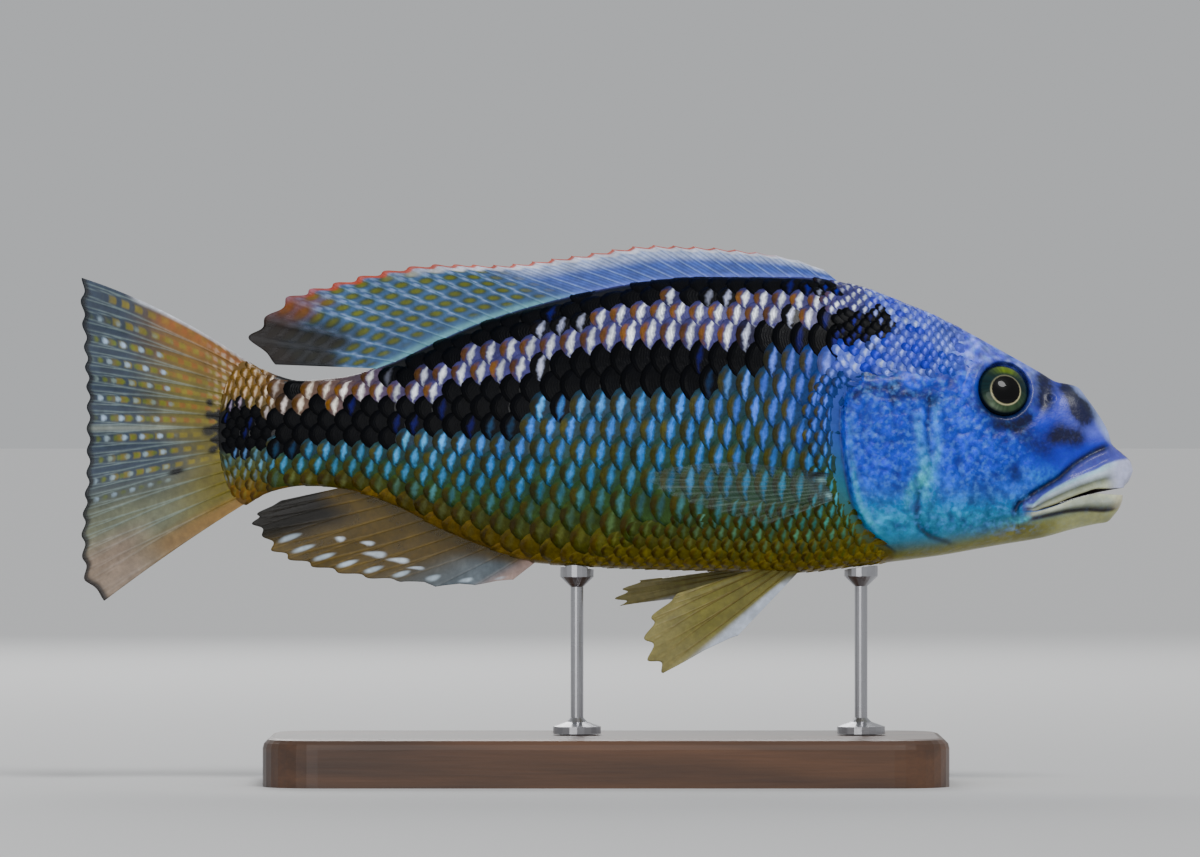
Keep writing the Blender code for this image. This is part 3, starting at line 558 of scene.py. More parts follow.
def stripe_share(behind, height, ragged=0.0, grown=0.0):
    """1 inside the black stripes, 0 outside, with edges moved by ragged and outwards by grown millimetres."""
    main = between(height + ragged, stripe_foot(behind) - grown, stripe_top(behind) + grown, 0.8)
    main *= ramp(behind, 58, 61)
    saddle = smooth_step((height + ragged + grown - saddle_foot(behind)) / 0.8 + 0.5)
    saddle *= smooth_step((back(behind) - 0.5 - height) / 0.6) * between(behind, 74, 187, 2)
    patch = between(behind, 207, 214, 1.0) * smooth_step((height + ragged - 13.5) / 1.5)
    return np.clip(main + saddle + patch, 0, 1)


print("black at mid stripe:", float(stripe_share(np.array([120.0]), np.array([21.0]))[0]))

# %% Smudges of the head
FACE_BLUE, CHEEK_BLUE, CHEEK_TURQUOISE = (18, 40, 206), (14, 66, 224), (18, 134, 180)
CROWN_LILAC, SNOUT_PALE, LIP_PALE = (76, 84, 236), (96, 108, 236), (200, 216, 232)
THROAT, CHIN, LIP_CREAM = (122, 120, 40), (168, 170, 116), (196, 204, 172)
LIP_SHADE, GROOVE_BROWN, SMUDGE = (106, 112, 92), (74, 62, 30), (2, 4, 18)
THROAT_LINE = [(0, -9), (10, -12.6), (20, -13.8), (27, -15.2), (38, -18.6), (50, -21), (60, -22.2), (76, -24)]
SMUDGES = [([(22.6, 18.6), (22, 15.8), (22.4, 13.2)], 2.8, 1.0),
           ([(16.8, 16.8), (14.8, 13.6), (13.6, 11.8)], 2.2, 1.0), ([(13, 10.8), (12, 9.6)], 3.0, 1.0),
           ([(18.4, 5.6), (16, 4.6), (14.6, 4.2)], 2.9, 0.95),
           ([(27, 4.2), (25.2, 2.6), (22.8, 2.4)], 3.8, 0.7), ([(30, -3.6), (29.4, -5.4)], 2.1, 0.7),
           ([(34.5, 7.4), (30.5, 7.4), (26.5, 9.4)], 1.9, 0.85)]


def smudge_share(behind, height):
    """How dark the smudges are at each place: full along a smudge's line, fading out at its width."""
    share = np.zeros(np.shape(behind))
    for line, width, depth in SMUDGES:
        distance, _ = distance_to(line, behind, height)
        share = share + depth * np.exp(-(distance / width) ** 2.6)
    return np.clip(share * (0.95 + 0.3 * mottle(2.2 * behind, 2.6 * height)), 0, 1)


print("smudge on the nostril:", float(smudge_share(*np.array([NOSTRIL]).T)[0]))


# %% Colours of the head
def head_colours(behind, height):
    """The head's colour: broad patches blended one over another, then the dark smudges and lines, and painted
    shade and highlights.
    """
    crown_share = smooth_step((height - (back(behind) - 13)) / 9) * ramp(behind, 16, 26)
    # Painted highlight: a pale streak along the snout's upper profile, as on wet skin.
    snout_highlight = smooth_step((height - back(behind) + 5) / 3.5) * ramp(behind, 17.5, 14.5)
    dapples = ramp(mottle(0.75 * behind, 0.8 * height + 2), 0.52, 0.77) * ramp(behind, 24, 32)
    on_cheek = hill(behind - 52.4, 2.4) * hill(height + 6.4, 5)
    over_corner = hill(behind - 23.5, 4.2) * hill(height + 5.2, 2.4)
    below_line = curve_through(THROAT_LINE)(behind) - height
    throat = ramp(below_line, -2.5, 2.5)
    lips, ridge, foot = gape(behind), lip_ridge(behind), lip_foot(behind)
    near_lips = (height < upper_lip_edge(behind)) * (behind < 28) * (height > lips)
    by_mouth = ramp(behind, 28, 25)
    # The lips' colours run across each lip. The upper lip has a painted highlight along its ridge and painted
    # shade (LIP_SHADE) on the lower half of its roll, above its pale cream edge. The lower lip has painted
    # shade at the slit and towards the groove beneath it, with its pale cream between.
    down_upper = np.clip((ridge - height) / np.maximum(ridge - lips, 0.5), 0, 1)
    upper = blend_along(down_upper, (0, (176, 226, 244)), (0.22, LIP_PALE), (0.5, LIP_SHADE),
                        (0.78, LIP_CREAM), (1, (150, 140, 92)))
    upper = mix(upper, (196, 200, 232), ramp(behind, 8, 3))
    on_upper = smooth_step((ridge + 0.7 - height) / 0.8) * (height > lips) * by_mouth
    down_lower = np.clip((lips - height) / np.maximum(lips - foot, 0.5), 0, 1)
    lower = blend_along(down_lower, (0, (128, 112, 50)), (0.15, LIP_CREAM), (0.55, (188, 196, 176)),
                        (0.85, LIP_SHADE), (1, GROOVE_BROWN))
    lower = mix(lower, (206, 198, 160), 0.7 * ramp(behind, 7, 3))
    on_lower = smooth_step((lips - height) / 0.5) * by_mouth * smooth_step((height - foot) / 0.8 + 1)
    colour = coats(
        CHEEK_BLUE, (FACE_BLUE, ramp(behind, 34, 20)), ((24, 100, 224), 0.8 * ramp(height, -2, -10)),
        (CHEEK_TURQUOISE, ramp(height, -7, -16) * ramp(behind, 22, 32)), (CROWN_LILAC, 0.85 * crown_share),
        ((164, 186, 255), 0.7 * crown_share * mottle(behind, height)),
        (SNOUT_PALE, 0.9 * ramp(behind, 21, 13) * ramp(height, 1.5, 6.5)),
        ((168, 188, 244), 0.85 * snout_highlight * ramp(height, 2, 4)),
        ((18, 26, 176), 0.5 * dapples * ramp(height, -12, -4)),
        ((60, 226, 250), on_cheek * (0.4 + 0.6 * mottle(2.1 * behind, 1.3 * height))),
        ((30, 150, 255), 0.8 * over_corner * mottle(2.6 * behind, 2.2 * height)),
        (mix((84, 118, 104), THROAT, ramp(below_line, 0.5, 3.5)), throat),
        (CHIN, throat * ramp(behind, 26, 12)),
        ((78, 82, 176), 0.9 * near_lips), (upper, on_upper), (lower, on_lower),
        (SMUDGE, 0.95 * smudge_share(behind, height)))
    cyan = mix((56, 160, 255), (80, 230, 246), ramp(height, 4, -8))
    broken = 0.35 + 0.65 * mottle(1.9 * behind, 1.1 * height)
    # Dark lines along the face's grooves: partly the skin's own dark lines, and partly painted shade in the
    # grooves that the relief sinks there. CHEEK_TOP_LINE has no groove under it.
    for line, width, share in ((MAXILLA_LINE, 1.0, 0.98), (LOWER_LIP_LINE, 0.6, 0.75),
                               (COVER_TOP_LINE, 0.9, 0.8), (COVER_INNER_LINE, 1.6, 0.9),
                               (CHEEK_GROOVE, 0.8, 0.75), (CHEEK_TOP_LINE, 2.0, 0.85)):
        colour = mix(colour, (4, 10, 34), share * along_line(line, behind, height, width, 0.08))
    for line, width, share in ((CHEEK_RIDGE, 1.2, 1.0), (CHEEK_STREAK, 1.0, 0.8), (COVER_PALE_LINE, 0.8, 0.6),
                               (CORNER_STREAK, 0.6, 0.9)):
        colour = mix(colour, cyan, share * broken * along_line(line, behind, height, width, 0.25))
    # Painted shade: in the crease behind the gill cover's free edge, and beneath the eye, where it deepens
    # the skin's dark ring round the rim; and a painted shadow along the slit between the lips.
    low_rim = 0.6 + 0.4 * np.clip((EYE[1] - height) / 6, -1, 1)
    cover_shade = between(height, -23, 18, 3) * hill(behind - cover_edge(height) - 0.5, 0.7)
    eye_shade = low_rim * hill(np.maximum(from_eye_rim(behind, height) - 0.4, 0), 1.2)
    return coats(
        colour, ((5, 18, 36), 0.85 * cover_shade), ((8, 20, 40), 0.95 * eye_shade),
        ((40, 36, 14), 0.8 * hill(height - lips, 0.3) * ramp(behind, MOUTH_CORNER, MOUTH_CORNER - 2)))


print("colour of the cheek:", head_colours(np.array([42.0]), np.array([0.0])).round(2))


# %% Colour and glitter of the whole skin
def skin_colours(behind, height):
    """The bare head blends into the darker ground between the scales of the trunk."""
    light, _, ground = flank_colours(behind, height)
    by_cover = smooth_step((cover_edge(height) + 8 - behind) / 4) * ramp(height, 20, 16)
    trunk = mix(mix(ground * 0.7, light * 0.55, 0.8 * by_cover), INK, stripe_share(behind, height))
    on_trunk = smooth_step((behind - cover_edge(height)) / 1.2)
    on_trunk = np.where(height > 19.2, ramp(behind, 52, 68), on_trunk)
    return mix(head_colours(behind, height), trunk, on_trunk)


def sparkle_share(behind, height):
    """How strongly the head glitters: most on the cheek and gill cover, little on snout, lips and throat."""
    share = ramp(behind, 21, 29) * ramp(height, -22, -17)
    share *= smooth_step((cover_edge(height) + 1 - behind) / 2)
    crown_part = ramp(height, 18, 21) * ramp(behind, 30, 38) * ramp(behind, 78, 70)
    share = np.maximum(share, 0.8 * crown_part)
    share = np.maximum(share, 0.12 * smooth_step((cover_edge(height) - behind) / 2))
    share = share * (1 - 0.85 * smudge_share(behind, height))
    return share * ramp(from_eye_rim(behind, height), 0, 2)


print("glitter on the cheek:", float(sparkle_share(np.array([42.0]), np.array([0.0]))[0]))

# %% Make the skin
face_shares = smooth_step(np.linspace(0, 1, 113)) * 0.35 + np.linspace(0, 1, 113) * 0.65
trunk_places = np.concatenate([np.arange(BODY_END + TAIL_ROUND - 0.4, BODY_END, -0.6),
                               np.arange(BODY_END, 78, -1.6), np.arange(77.5, FACE_START + 0.2, -0.48)])
face_half = face_rings(face_shares)
skin_half = np.concatenate([upright_slices(trunk_places), face_half, mouth_rings(face_half[-1])])
skin_rings = closed_rings(skin_half)
row_count, around = skin_rings.shape[:2]
tail_centre = place(BODY_END + TAIL_ROUND, broadest(BODY_END))
mouth_centre = place(MOUTH_DEPTH, gape(MOUTH_DEPTH))
skin_points = np.concatenate([skin_rings.reshape(-1, 3), [tail_centre, mouth_centre]])
skin = ringed_piece("skin", skin_points, row_count, around)
side_view = np.concatenate([skin_half, skin_half[:, -2:0:-1]], axis=1).reshape(-1, 3)
side_view = np.concatenate([side_view, [[BODY_END, 5, 0], [MOUTH_DEPTH, gape(MOUTH_DEPTH), 0]]])
inside_mouth = np.zeros(len(side_view))
inside_mouth[(row_count - MOUTH_ROWS) * around:] = 1
# Inside the mouth the rings are painted a near-black brown: painted shade in the mouth's hollow.
store(skin, "tint", mix(skin_colours(*side_view.T[:2]), (38, 20, 16), inside_mouth))
store(skin, "sparkle", sparkle_share(*side_view.T[:2]) * (1 - inside_mouth))
print("skin faces:", len(skin.data.polygons))

# %% [markdown]
# Scales overlap like roof tiles: each is rooted under the one before it, and only its rounded rear edge
# stands free. They lie in rows whose places are offset by half a scale from one row to the next. Each
# scale is bent over the body by working out its points on the skin itself, so none floats or sinks.

# %% Places on the skin by distance round the body
TABLE_STEPS = 240
HALVINGS = 14
table_places = np.linspace(34, BODY_END + 3, 380)
table_angles = np.linspace(0, math.pi, TABLE_STEPS + 1)


def distance_round(behind_table, angle_table):
    """For each slice of a table, how far round the skin each angle is from the broadest level, in mm."""
    _, height, across = skin_point(behind_table, angle_table)
    steps = np.hypot(np.diff(height, axis=1), np.diff(across, axis=1))
    travelled = np.concatenate([np.zeros((len(height), 1)), np.cumsum(steps, axis=1)], axis=1)
    return travelled - travelled[:, [TABLE_STEPS // 2]]


round_table = distance_round(*np.meshgrid(table_places, table_angles, indexing="ij"))


def angle_for(behind, round_distance):
    """The angle that lies a given distance round the skin, by halving the range of angles again and again."""
    column = np.interp(behind, table_places, np.arange(len(table_places)))
    row = np.clip(column.astype(int), 0, len(table_places) - 2)
    share = column - row
    low, high = np.zeros(np.shape(behind)), np.full(np.shape(behind), float(TABLE_STEPS))
    for _ in range(HALVINGS):
        middle = (low + high) / 2
        k = np.clip(middle.astype(int), 0, TABLE_STEPS - 1)
        part = middle - k
        here = ((1 - share) * ((1 - part) * round_table[row, k] + part * round_table[row, k + 1])
                + share * ((1 - part) * round_table[row + 1, k] + part * round_table[row + 1, k + 1]))
        too_far = here > round_distance
        high = np.where(too_far, middle, high)
        low = np.where(too_far, low, middle)
    return (low + high) / 2 * math.pi / TABLE_STEPS


def round_limits(behind):
    """How far round the skin the back and the belly are from the broadest level."""
    return [np.interp(behind, table_places, round_table[:, k]) for k in (0, -1)]


def tip_heights(behind, round_distance):
    """How high the places on the skin lie that are a distance round it."""
    return skin_point(behind, angle_for(behind, round_distance))[1]


print("half way round at the deepest:", float(np.ptp(round_table, axis=1).max()), "mm")

# %% One scale, and its place in the rows
FRONT_BORDER = [(-32, 60), (-24, 60.5), (-18.8, 67), (-11.2, 71.2), (0.8, 73.4), (9, 74), (15, 72.6),
                (19.2, 69), (23, 66), (30, 66.5), (38, 70), (46, 73)]
front_border = curve_through(FRONT_BORDER)
MOST_ROWS = 40
BURIED_LENGTH = 1.75
LEAST_SQUEEZE = 0.3
AWAY_FROM_BORDER = 9.0


def scale_lattice(start, end, pitch, row_gap):
    """Staggered places: their tips' distance behind the snout, distance round the body, and cell size."""
    tips = [start]
    while tips[-1] < end:
        tips.append(tips[-1] + float(pitch(tips[-1])))
    rows = np.arange(-MOST_ROWS, MOST_ROWS + 1)
    number, row = np.meshgrid(np.arange(len(tips)), rows, indexing="ij")
    behind = np.interp(number + 0.5 * (row % 2), np.arange(len(tips)), tips)
    share = 1 - 0.3 * ramp(-rows, 4.5, 6.5)
    reach = np.cumsum(share) - np.cumsum(share)[MOST_ROWS]
    size = row_gap(behind) * share[row + MOST_ROWS]
    round_distance = row_gap(behind) * reach[row + MOST_ROWS]
    top, bottom = round_limits(behind)
    kept = (round_distance > top + 0.3 * size) & (round_distance < bottom - 0.15 * size) & (behind < end)
    return behind[kept], round_distance[kept], pitch(behind[kept]), size[kept]


def scale_piece(name, tips, side, lift_edge, thickness, squeezed, grid, ragged_by, raised=0.0):
    """All the scales of one side as one mesh. On a scale's own grid x runs from its buried root at -1 to its
    free edge at 0, which curves forward with the square of y, the distance from the scale's middle. A scale
    rises evenly towards its edge and sinks with the square of y. Its buried part is shorter at the border."""
    count = len(tips[0])
    behind, round_distance, length, tall = (values[:, None, None] for values in tips)
    x, y = np.meshgrid(np.linspace(-1, 0, grid[0]), np.linspace(-1, 1, grid[1]), indexing="ij")
    narrow = np.sqrt(np.clip(1 - np.clip((-x - 0.35) / 0.65, 0, 1) ** 2 * 0.75, 0.1, 1))
    room = (behind - front_border(tip_heights(behind, round_distance)) - 0.8) / length
    room = np.where(np.broadcast_to(squeezed, count)[:, None, None], room, AWAY_FROM_BORDER)
    forward = (0.72 * y ** 2 + 0.16 * y ** 8) * np.clip(room / 0.9, LEAST_SQUEEZE, 1)
    squeeze = np.clip((room - forward) / BURIED_LENGTH, LEAST_SQUEEZE, 1)
    local_b = (x * BURIED_LENGTH * squeeze - forward) * length
    tilt = random.normal(0, 0.03, count)[:, None, None]
    at_b = behind + local_b
    top, bottom = round_limits(at_b)
    at_a = np.clip(round_distance + y * narrow * 0.95 * tall + tilt * local_b, top + 0.05, bottom - 0.05)
    rise = lift_edge * (1 + x * 1.6) * (1 - 0.8 * y ** 2) - 0.12 * y ** 8
    rise = rise + random.normal(0, 0.02, count)[:, None, None]
    rise = rise + (1 + 1.3 * x) * (1 - 0.75 * y ** 2) * (raised + np.zeros(count))[:, None, None]
    angle = angle_for(at_b, at_a)
    points = np.stack([np.stack(skin_point(at_b, angle, lift), axis=-1) for lift in (rise, rise - thickness)],
                      axis=1).reshape(-1, 3)
    per = 2 * x.size
    one = shell_faces(*grid)[:, ::-1 if side > 0 else 1]
    faces = (one[None] + (np.arange(count) * per)[:, None, None]).reshape(-1, 4)
    piece = mesh_piece(name, place(points[:, 0], points[:, 1], points[:, 2] * side), faces)
    local = np.tile(np.stack([x.ravel(), y.ravel()], axis=1), (2 * count, 1))
    dress_scales(piece, tips, local, np.repeat(np.arange(count), per), side, ragged_by)
    print(name, "count:", count, "faces:", len(faces))
    return piece


# %% Colours of the scales
def add_uv(piece, name, values):
    """A UV map from one (u, v) for each point."""
    layer = piece.data.uv_layers.new(name=name)
    index = np.zeros(len(piece.data.loops), np.int32)
    piece.data.loops.foreach_get("vertex_index", index)
    layer.data.foreach_set("uv", np.asarray(values, np.float32)[index].ravel())


def dress_scales(piece, tips, local, owner, side, ragged_by):
    """Colours and maps of a piece of scales: each scale takes its colours from the place of its middle."""
    behind, round_distance, length, _ = tips
    count = len(behind)
    middle_b = behind - 0.5 * length
    angle = angle_for(middle_b, round_distance)
    height = skin_point(middle_b, angle)[1]
    light, spot, ground = flank_colours(middle_b, height)
    near_head = ramp(middle_b, 40, 52)
    head_tint = head_colours(middle_b, height)
    ground = mix(head_tint * 0.8, ground, near_head)
    # Painted glints: each scale's light patch is made brighter or dimmer at random.
    glint_gain = np.exp(random.normal(0, 0.2, count))[:, None]
    spot = mix(ground, mix(spot, spot * 0.35, random.uniform(0.0, 1.0, count)), near_head)
    ragged = random.normal(0, ragged_by, count)
    wide = stripe_share(middle_b, height, ragged, 0.5)
    dark = stripe_share(middle_b, height, ragged, -0.4)
    luck = random.uniform(0, 1, count)
    to_front = ramp(middle_b, 96, 72)
    streak = dark * (luck < 0.65 * to_front) * (0.2 + 0.7 * to_front * luck)
    on_nape = ramp(height, 19, 22) * ramp(middle_b, 82, 72) * (1 - dark) * ramp(middle_b, 43, 52)
    on_nape *= 1 - 0.9 * smooth_step(height - stripe_top(middle_b) - 0.2) * ramp(middle_b, 63, 69)
    patchy = np.clip(mottle(middle_b, height) + random.normal(0, 0.15, count), 0, 1)
    patchy = patchy * (1 - 0.9 * hill(middle_b - 54, 5) * hill(height - 26, 4))
    light = coats(mix(head_tint * 1.3, light, near_head) * glint_gain, (INDIGO, 0.35 * wide), (INK, dark),
                  (INDIGO, np.maximum(streak, 0.18 * (luck > 0.9) * dark)),
                  (mix((40, 60, 240), (196, 218, 255), patchy), 0.8 * on_nape))
    ground = mix(ground, mix((26, 38, 196), (116, 140, 252), patchy), 0.85 * on_nape)
    spot = mix(spot, ground, np.maximum(on_nape, ramp(middle_b, 80, 72)))
    for kind, values in (("light", light), ("spot", mix(spot, INK, wide)), ("ground", mix(ground, INK, wide)),
                         ("dark", dark)):
        store(piece, kind, values[owner])
    print(piece.name, "in the stripes:", int((dark > 0.5).sum()))
    add_uv(piece, "InScale", local * [1, 0.5] + [1, 0.5])
    u = (behind[owner] / 240) + 0.003 * local[:, 0]
    v = 0.25 + 0.5 * (side > 0) + 0.22 * (angle[owner] / math.pi * 2 - 1) + 0.0015 * local[:, 1]
    add_uv(piece, "OFBake", np.stack([u, v], axis=1))


# %% Lay out the rows of scales
SCALE_PITCH = [(50, 4.4), (92, 4.5), (125, 5.0), (150, 5.0), (175, 4.6), (200, 4.3), (232, 4.0)]
ROW_PITCH = [(50, 6.2), (120, 6.2), (150, 5.2), (190, 3.9), (232, 3.6)]
FINE_PITCH = [(40, 1.9), (66, 2.7), (90, 3.1), (200, 3.2), (229, 2.2)]
FINE_ROW_PITCH = [(40, 2.5), (66, 2.8), (90, 3.2), (200, 3.0), (229, 2.4)]
BREAST_LINE = [(60, -9), (80, -10.5), (100, -12.5), (120, -16), (134, -21), (144, -28), (150, -36)]
breast_line = curve_through(BREAST_LINE)
pitches = list(map(curve_through, (SCALE_PITCH, ROW_PITCH, FINE_PITCH, FINE_ROW_PITCH)))
FINE_BAND, FINE_TAIL, NAPE_LEVEL = 10.0, 216.0, 20.5

coat = []
for side_name, side in SIDES.items():
    tips = scale_lattice(66.0, BODY_END + 8, *pitches[:2])
    tip_height = tip_heights(*tips[:2])
    kept = (tips[0] > front_border(tip_height) + FINE_BAND) & (tip_height > breast_line(tips[0]))
    kept &= tips[0] < FINE_TAIL + 1
    coat.append(scale_piece("scales_" + side_name, [values[kept] for values in tips], side, lift_edge=0.34,
                            thickness=0.3, squeezed=True, grid=(5, 7), ragged_by=0.7))
    tips = scale_lattice(41.0, BODY_END + 6.4, *pitches[2:])
    tip_height = tip_heights(*tips[:2])
    past_border = tips[0] - front_border(tip_height)
    in_band = past_border < FINE_BAND
    on_breast = (tip_height < breast_line(tips[0])) & (past_border > 3) & (tips[0] < 150)
    by_cover = (tip_height < NAPE_LEVEL) & (past_border > 3.2) & in_band
    on_nape = (tip_height > NAPE_LEVEL) & in_band
    on_nape &= tip_height > 69 - 0.98 * tips[0] + random.normal(0, 2.0, len(tips[0]))
    on_tail = tips[0] > FINE_TAIL
    kept = (on_breast | by_cover | on_nape | on_tail) & (tips[0] > 44.5)
    raised = 0.26 * ramp(past_border, 3, 7) * ~(on_breast | on_tail)
    coat.append(scale_piece("fine_scales_" + side_name, [values[kept] for values in tips], side,
                            lift_edge=0.26, thickness=0.22, squeezed=tip_height[kept] < 19, grid=(4, 5),
                            ragged_by=1.0, raised=raised[kept]))


# %% [markdown]
# A fin is a thin membrane stretched over rays that spread like the sticks of a fan. Here it is one sheet
# between the fin's root and its edge, thickened along each ray. The rays of the soft parts split in two
# towards the edge. Separate sticks and webs would leave seams that a real fin doesn't have.

# %% Outlines of the fins
DORSAL_ROOT = (72.5, 187.5)
DORSAL_TIPS = [(0, 77.5, 46.4), (1, 84, 48.7), (3, 94.5, 50.8), (6, 110, 52.2), (8, 120, 52.5),
               (12, 140.5, 49.8), (16, 160, 47.6), (19, 174.5, 47.7), (21, 187, 46.1), (23, 199.5, 43.1),
               (25, 211.5, 39.6), (26, 217, 34.6), (27, 221.3, 29.4), (28, 214.5, 22.6)]
DORSAL_SPINES = 17
DORSAL_RAYS = 29
ANAL_ROOT = (148.5, 196.5)
ANAL_TIPS = [(0, 155, -31.2), (1, 164.5, -32.6), (2, 174.5, -33), (3, 183, -31.8), (4, 191, -30.9),
             (6, 205, -28.1), (8, 215.5, -24), (9, 217.8, -20.4), (10, 220.4, -17.2), (11, 219, -14.6),
             (12, 213, -11.4)]
ANAL_RAYS = 13
CAUDAL_START = [(0, 217.5, 20.6), (15, 217.5, -9.4)]
CAUDAL_TIPS = [(0, 263.2, 44.4), (1, 263.4, 38.5), (3, 262.6, 27), (6, 261.9, 12), (9, 262, -4.5),
               (12, 263.2, -20), (14, 262.6, -31), (15, 257.5, -36.6)]
CAUDAL_LIFT = [(0, 2.3), (3, 1.2), (8, 0.2), (12, 0.3), (15, 0.8)]
CAUDAL_RAYS = 16
PECTORAL_RAYS = 13


def ray_curve(rows, side=0.0):
    """A curve of model points, as a function of ray number, from (ray, behind, height) rows. Where it leaves
    the middle plane for one side, each row ends in the distance out."""
    ray, *parts = zip(*rows)
    curves = [curve_through(list(zip(ray, part))) for part in parts]
    return lambda at: place(curves[0](at), curves[1](at), side * curves[-1](at)) / MM


def base_along(root, rays, outline, sunk):
    """A fin's root, evenly spaced along the body's outline and sunk a little way under it."""
    def value(ray):
        """The root's place for a ray number, as far along as the ray is in its row."""
        behind = root[0] + (root[1] - root[0]) * ray / (rays - 1)
        return place(behind, outline(behind) - sunk) / MM

    return value


print("the dorsal fin has", DORSAL_SPINES, "spines and", DORSAL_RAYS - DORSAL_SPINES, "soft rays")


# %% One fin sheet
def fin_sheet(name, root, tip, last_ray, columns, rows, spines=0, notch=0.05, wave=0.25, membrane=0.11,
              ray_height=0.26, bow=lambda ray: np.zeros((len(ray), 3)), root_swell=lambda ray: 0.5):
    """A closed sheet between a root and an edge, both functions of ray number.

    Its half thickness is the membrane's, plus a bell curve over each ray, plus a swelling at the root that
    falls with the fourth power of the way out. Soft rays are two lines whose gap opens from a third of it."""
    ray = np.linspace(0, last_ray, last_ray * columns + 1)
    number = np.round(ray)
    off = ray - number
    out = np.linspace(0, 1, rows)[:, None] ** 0.9
    start, end = root(ray), tip(ray)
    soft = (ray >= spines).astype(float)
    rounded, pointed = 0.5 - 0.5 * np.cos(2 * math.pi * off), 1.6 * np.abs(off * 2) ** 0.7
    dip = notch * np.where(soft > 0, rounded, pointed)
    end = start + (end - start) * (1 - dip)[:, None]
    middle = start[None] + (end - start)[None] * out[..., None]
    middle = middle + bow(ray)[None] * (4 * out * (1 - out))[..., None]
    flat = middle[:, ::columns].reshape(-1, 3)
    facing = np.linalg.svd(flat - flat.mean(axis=0), full_matrices=False)[2][2]
    ripple = wave * out ** 1.5 * (np.sin(ray * 2.1 + 3 * out) + 0.5 * np.sin(ray * 0.9 + 1))
    middle = middle + facing * ripple[..., None]
    width = np.linalg.norm(np.gradient(middle, axis=1), axis=2) * columns
    split, fork = soft * 0.24 * ramp(out, 0.3, 1), soft * 0.09 * ramp(out, 0.7, 1)
    distance = np.min([np.abs(off - a * split - b * fork) for a in (-1, 1) for b in (-1, 1)], axis=0) * width
    thin = 0.19 - 0.09 * out
    joints = 1 - 0.22 * soft * (np.cos(out * 150) > 0.6)
    half = membrane + ray_height * (1 - 0.65 * out) * hill(distance, thin) * joints
    half = half + root_swell(ray) * (1 - out) ** 4
    half[-1] *= 0.5
    direction = np.gradient(middle, axis=0)
    direction /= np.linalg.norm(direction, axis=2, keepdims=True)
    normal = facing - direction * (direction @ facing)[..., None]
    normal /= np.linalg.norm(normal, axis=2, keepdims=True)
    points = np.concatenate([(middle + way * normal * half[..., None]).reshape(-1, 3) for way in (1, -1)])
    piece = mesh_piece(name, points * MM, shell_faces(rows, len(ray)))
    face_outwards(piece)
    print(name, "faces:", len(piece.data.polygons))
    outs, numbers = np.broadcast_arrays(out, ray[None])
    return piece, numbers, outs, hill(distance, thin * 1.6), middle


def face_outwards(piece):
    """Turns a closed mesh's faces outwards if its volume comes out negative."""
    work = bmesh.new()
    work.from_mesh(piece.data)
    if work.calc_volume(signed=True) < 0:
        bmesh.ops.reverse_faces(work, faces=work.faces)
        work.to_mesh(piece.data)
    work.free()


def dress_fin(piece, tint, veil):
    """Keeps a sheet's colours, and how much its membrane hides, for both of its faces."""
    store(piece, "tint", np.tile(tint.reshape(-1, 3), (2, 1)))
    store(piece, "veil", np.tile(veil.ravel(), 2))


# %% Dorsal fin
dorsal, ray, out, on_ray, middle = fin_sheet(
    "dorsal_fin", base_along(DORSAL_ROOT, DORSAL_RAYS, back, 1.2), ray_curve(DORSAL_TIPS), DORSAL_RAYS - 1,
    12, 52, spines=DORSAL_SPINES)
soft_part = ramp(ray, 14.5, 18.5)
streaks = 0.5 + 0.5 * np.sin(ray * 6 * math.pi + 0.6 * np.sin(out * 9))
span = np.linalg.norm(middle[-1] - middle[0], axis=1)[None]
spot_at = np.abs((out * span / 4.0 + 0.5 * (np.floor(ray) % 2)) % 1 - 0.5)
spot_off = np.abs(ray % 1 - 0.5)
from_spot = np.hypot(spot_at / 0.32, spot_off / 0.34)
spot = smooth_step(2.3 - from_spot * 1.7) * ramp(out, 0.1, 0.18)
from_fleck = np.hypot((0.5 - spot_at) / 0.2, (0.5 - spot_off) / 0.16)
soft_tint = coats(
    (46, 92, 140), ((126, 164, 190), 0.6 * on_ray), ((46, 66, 16), 0.9 * spot),
    ((98, 104, 0), 0.9 * smooth_step(1.9 - from_spot * 2) * spot),
    ((160, 186, 244), 0.5 * smooth_step(1.5 - from_fleck) * ramp(out, 0.15, 0.25)),
    ((140, 66, 14), 0.75 * ramp(ray, 23.5, 25.5) * ramp(out, 0.72, 0.88)),
    ((8, 7, 4), 0.97 * ramp(ray, 25, 26.4) * ramp(out, 0.3, 0.5)))
tint = coats(
    (76, 108, 204), ((40, 58, 116), 0.6 * streaks), ((140, 172, 240), 0.75 * on_ray),
    ((196, 214, 248), ramp(out, 0.5, 0.8) * (1 - soft_part) * (0.95 - 0.5 * streaks)),
    (soft_tint, soft_part), ((232, 236, 252), 0.85 * ramp(out, 0.84, 0.9) * ramp(ray, 22, 18)),
    ((196, 66, 6), 0.9 * ramp(out, 0.94, 0.97) * between(ray, 4, 23, 3)),
    (mix((112, 136, 250), (120, 196, 206), soft_part), 0.75 * hill(out * span - 1.6, 1.3)))
dress_fin(dorsal, tint, 0.8 + 0.2 * np.maximum(on_ray, spot))

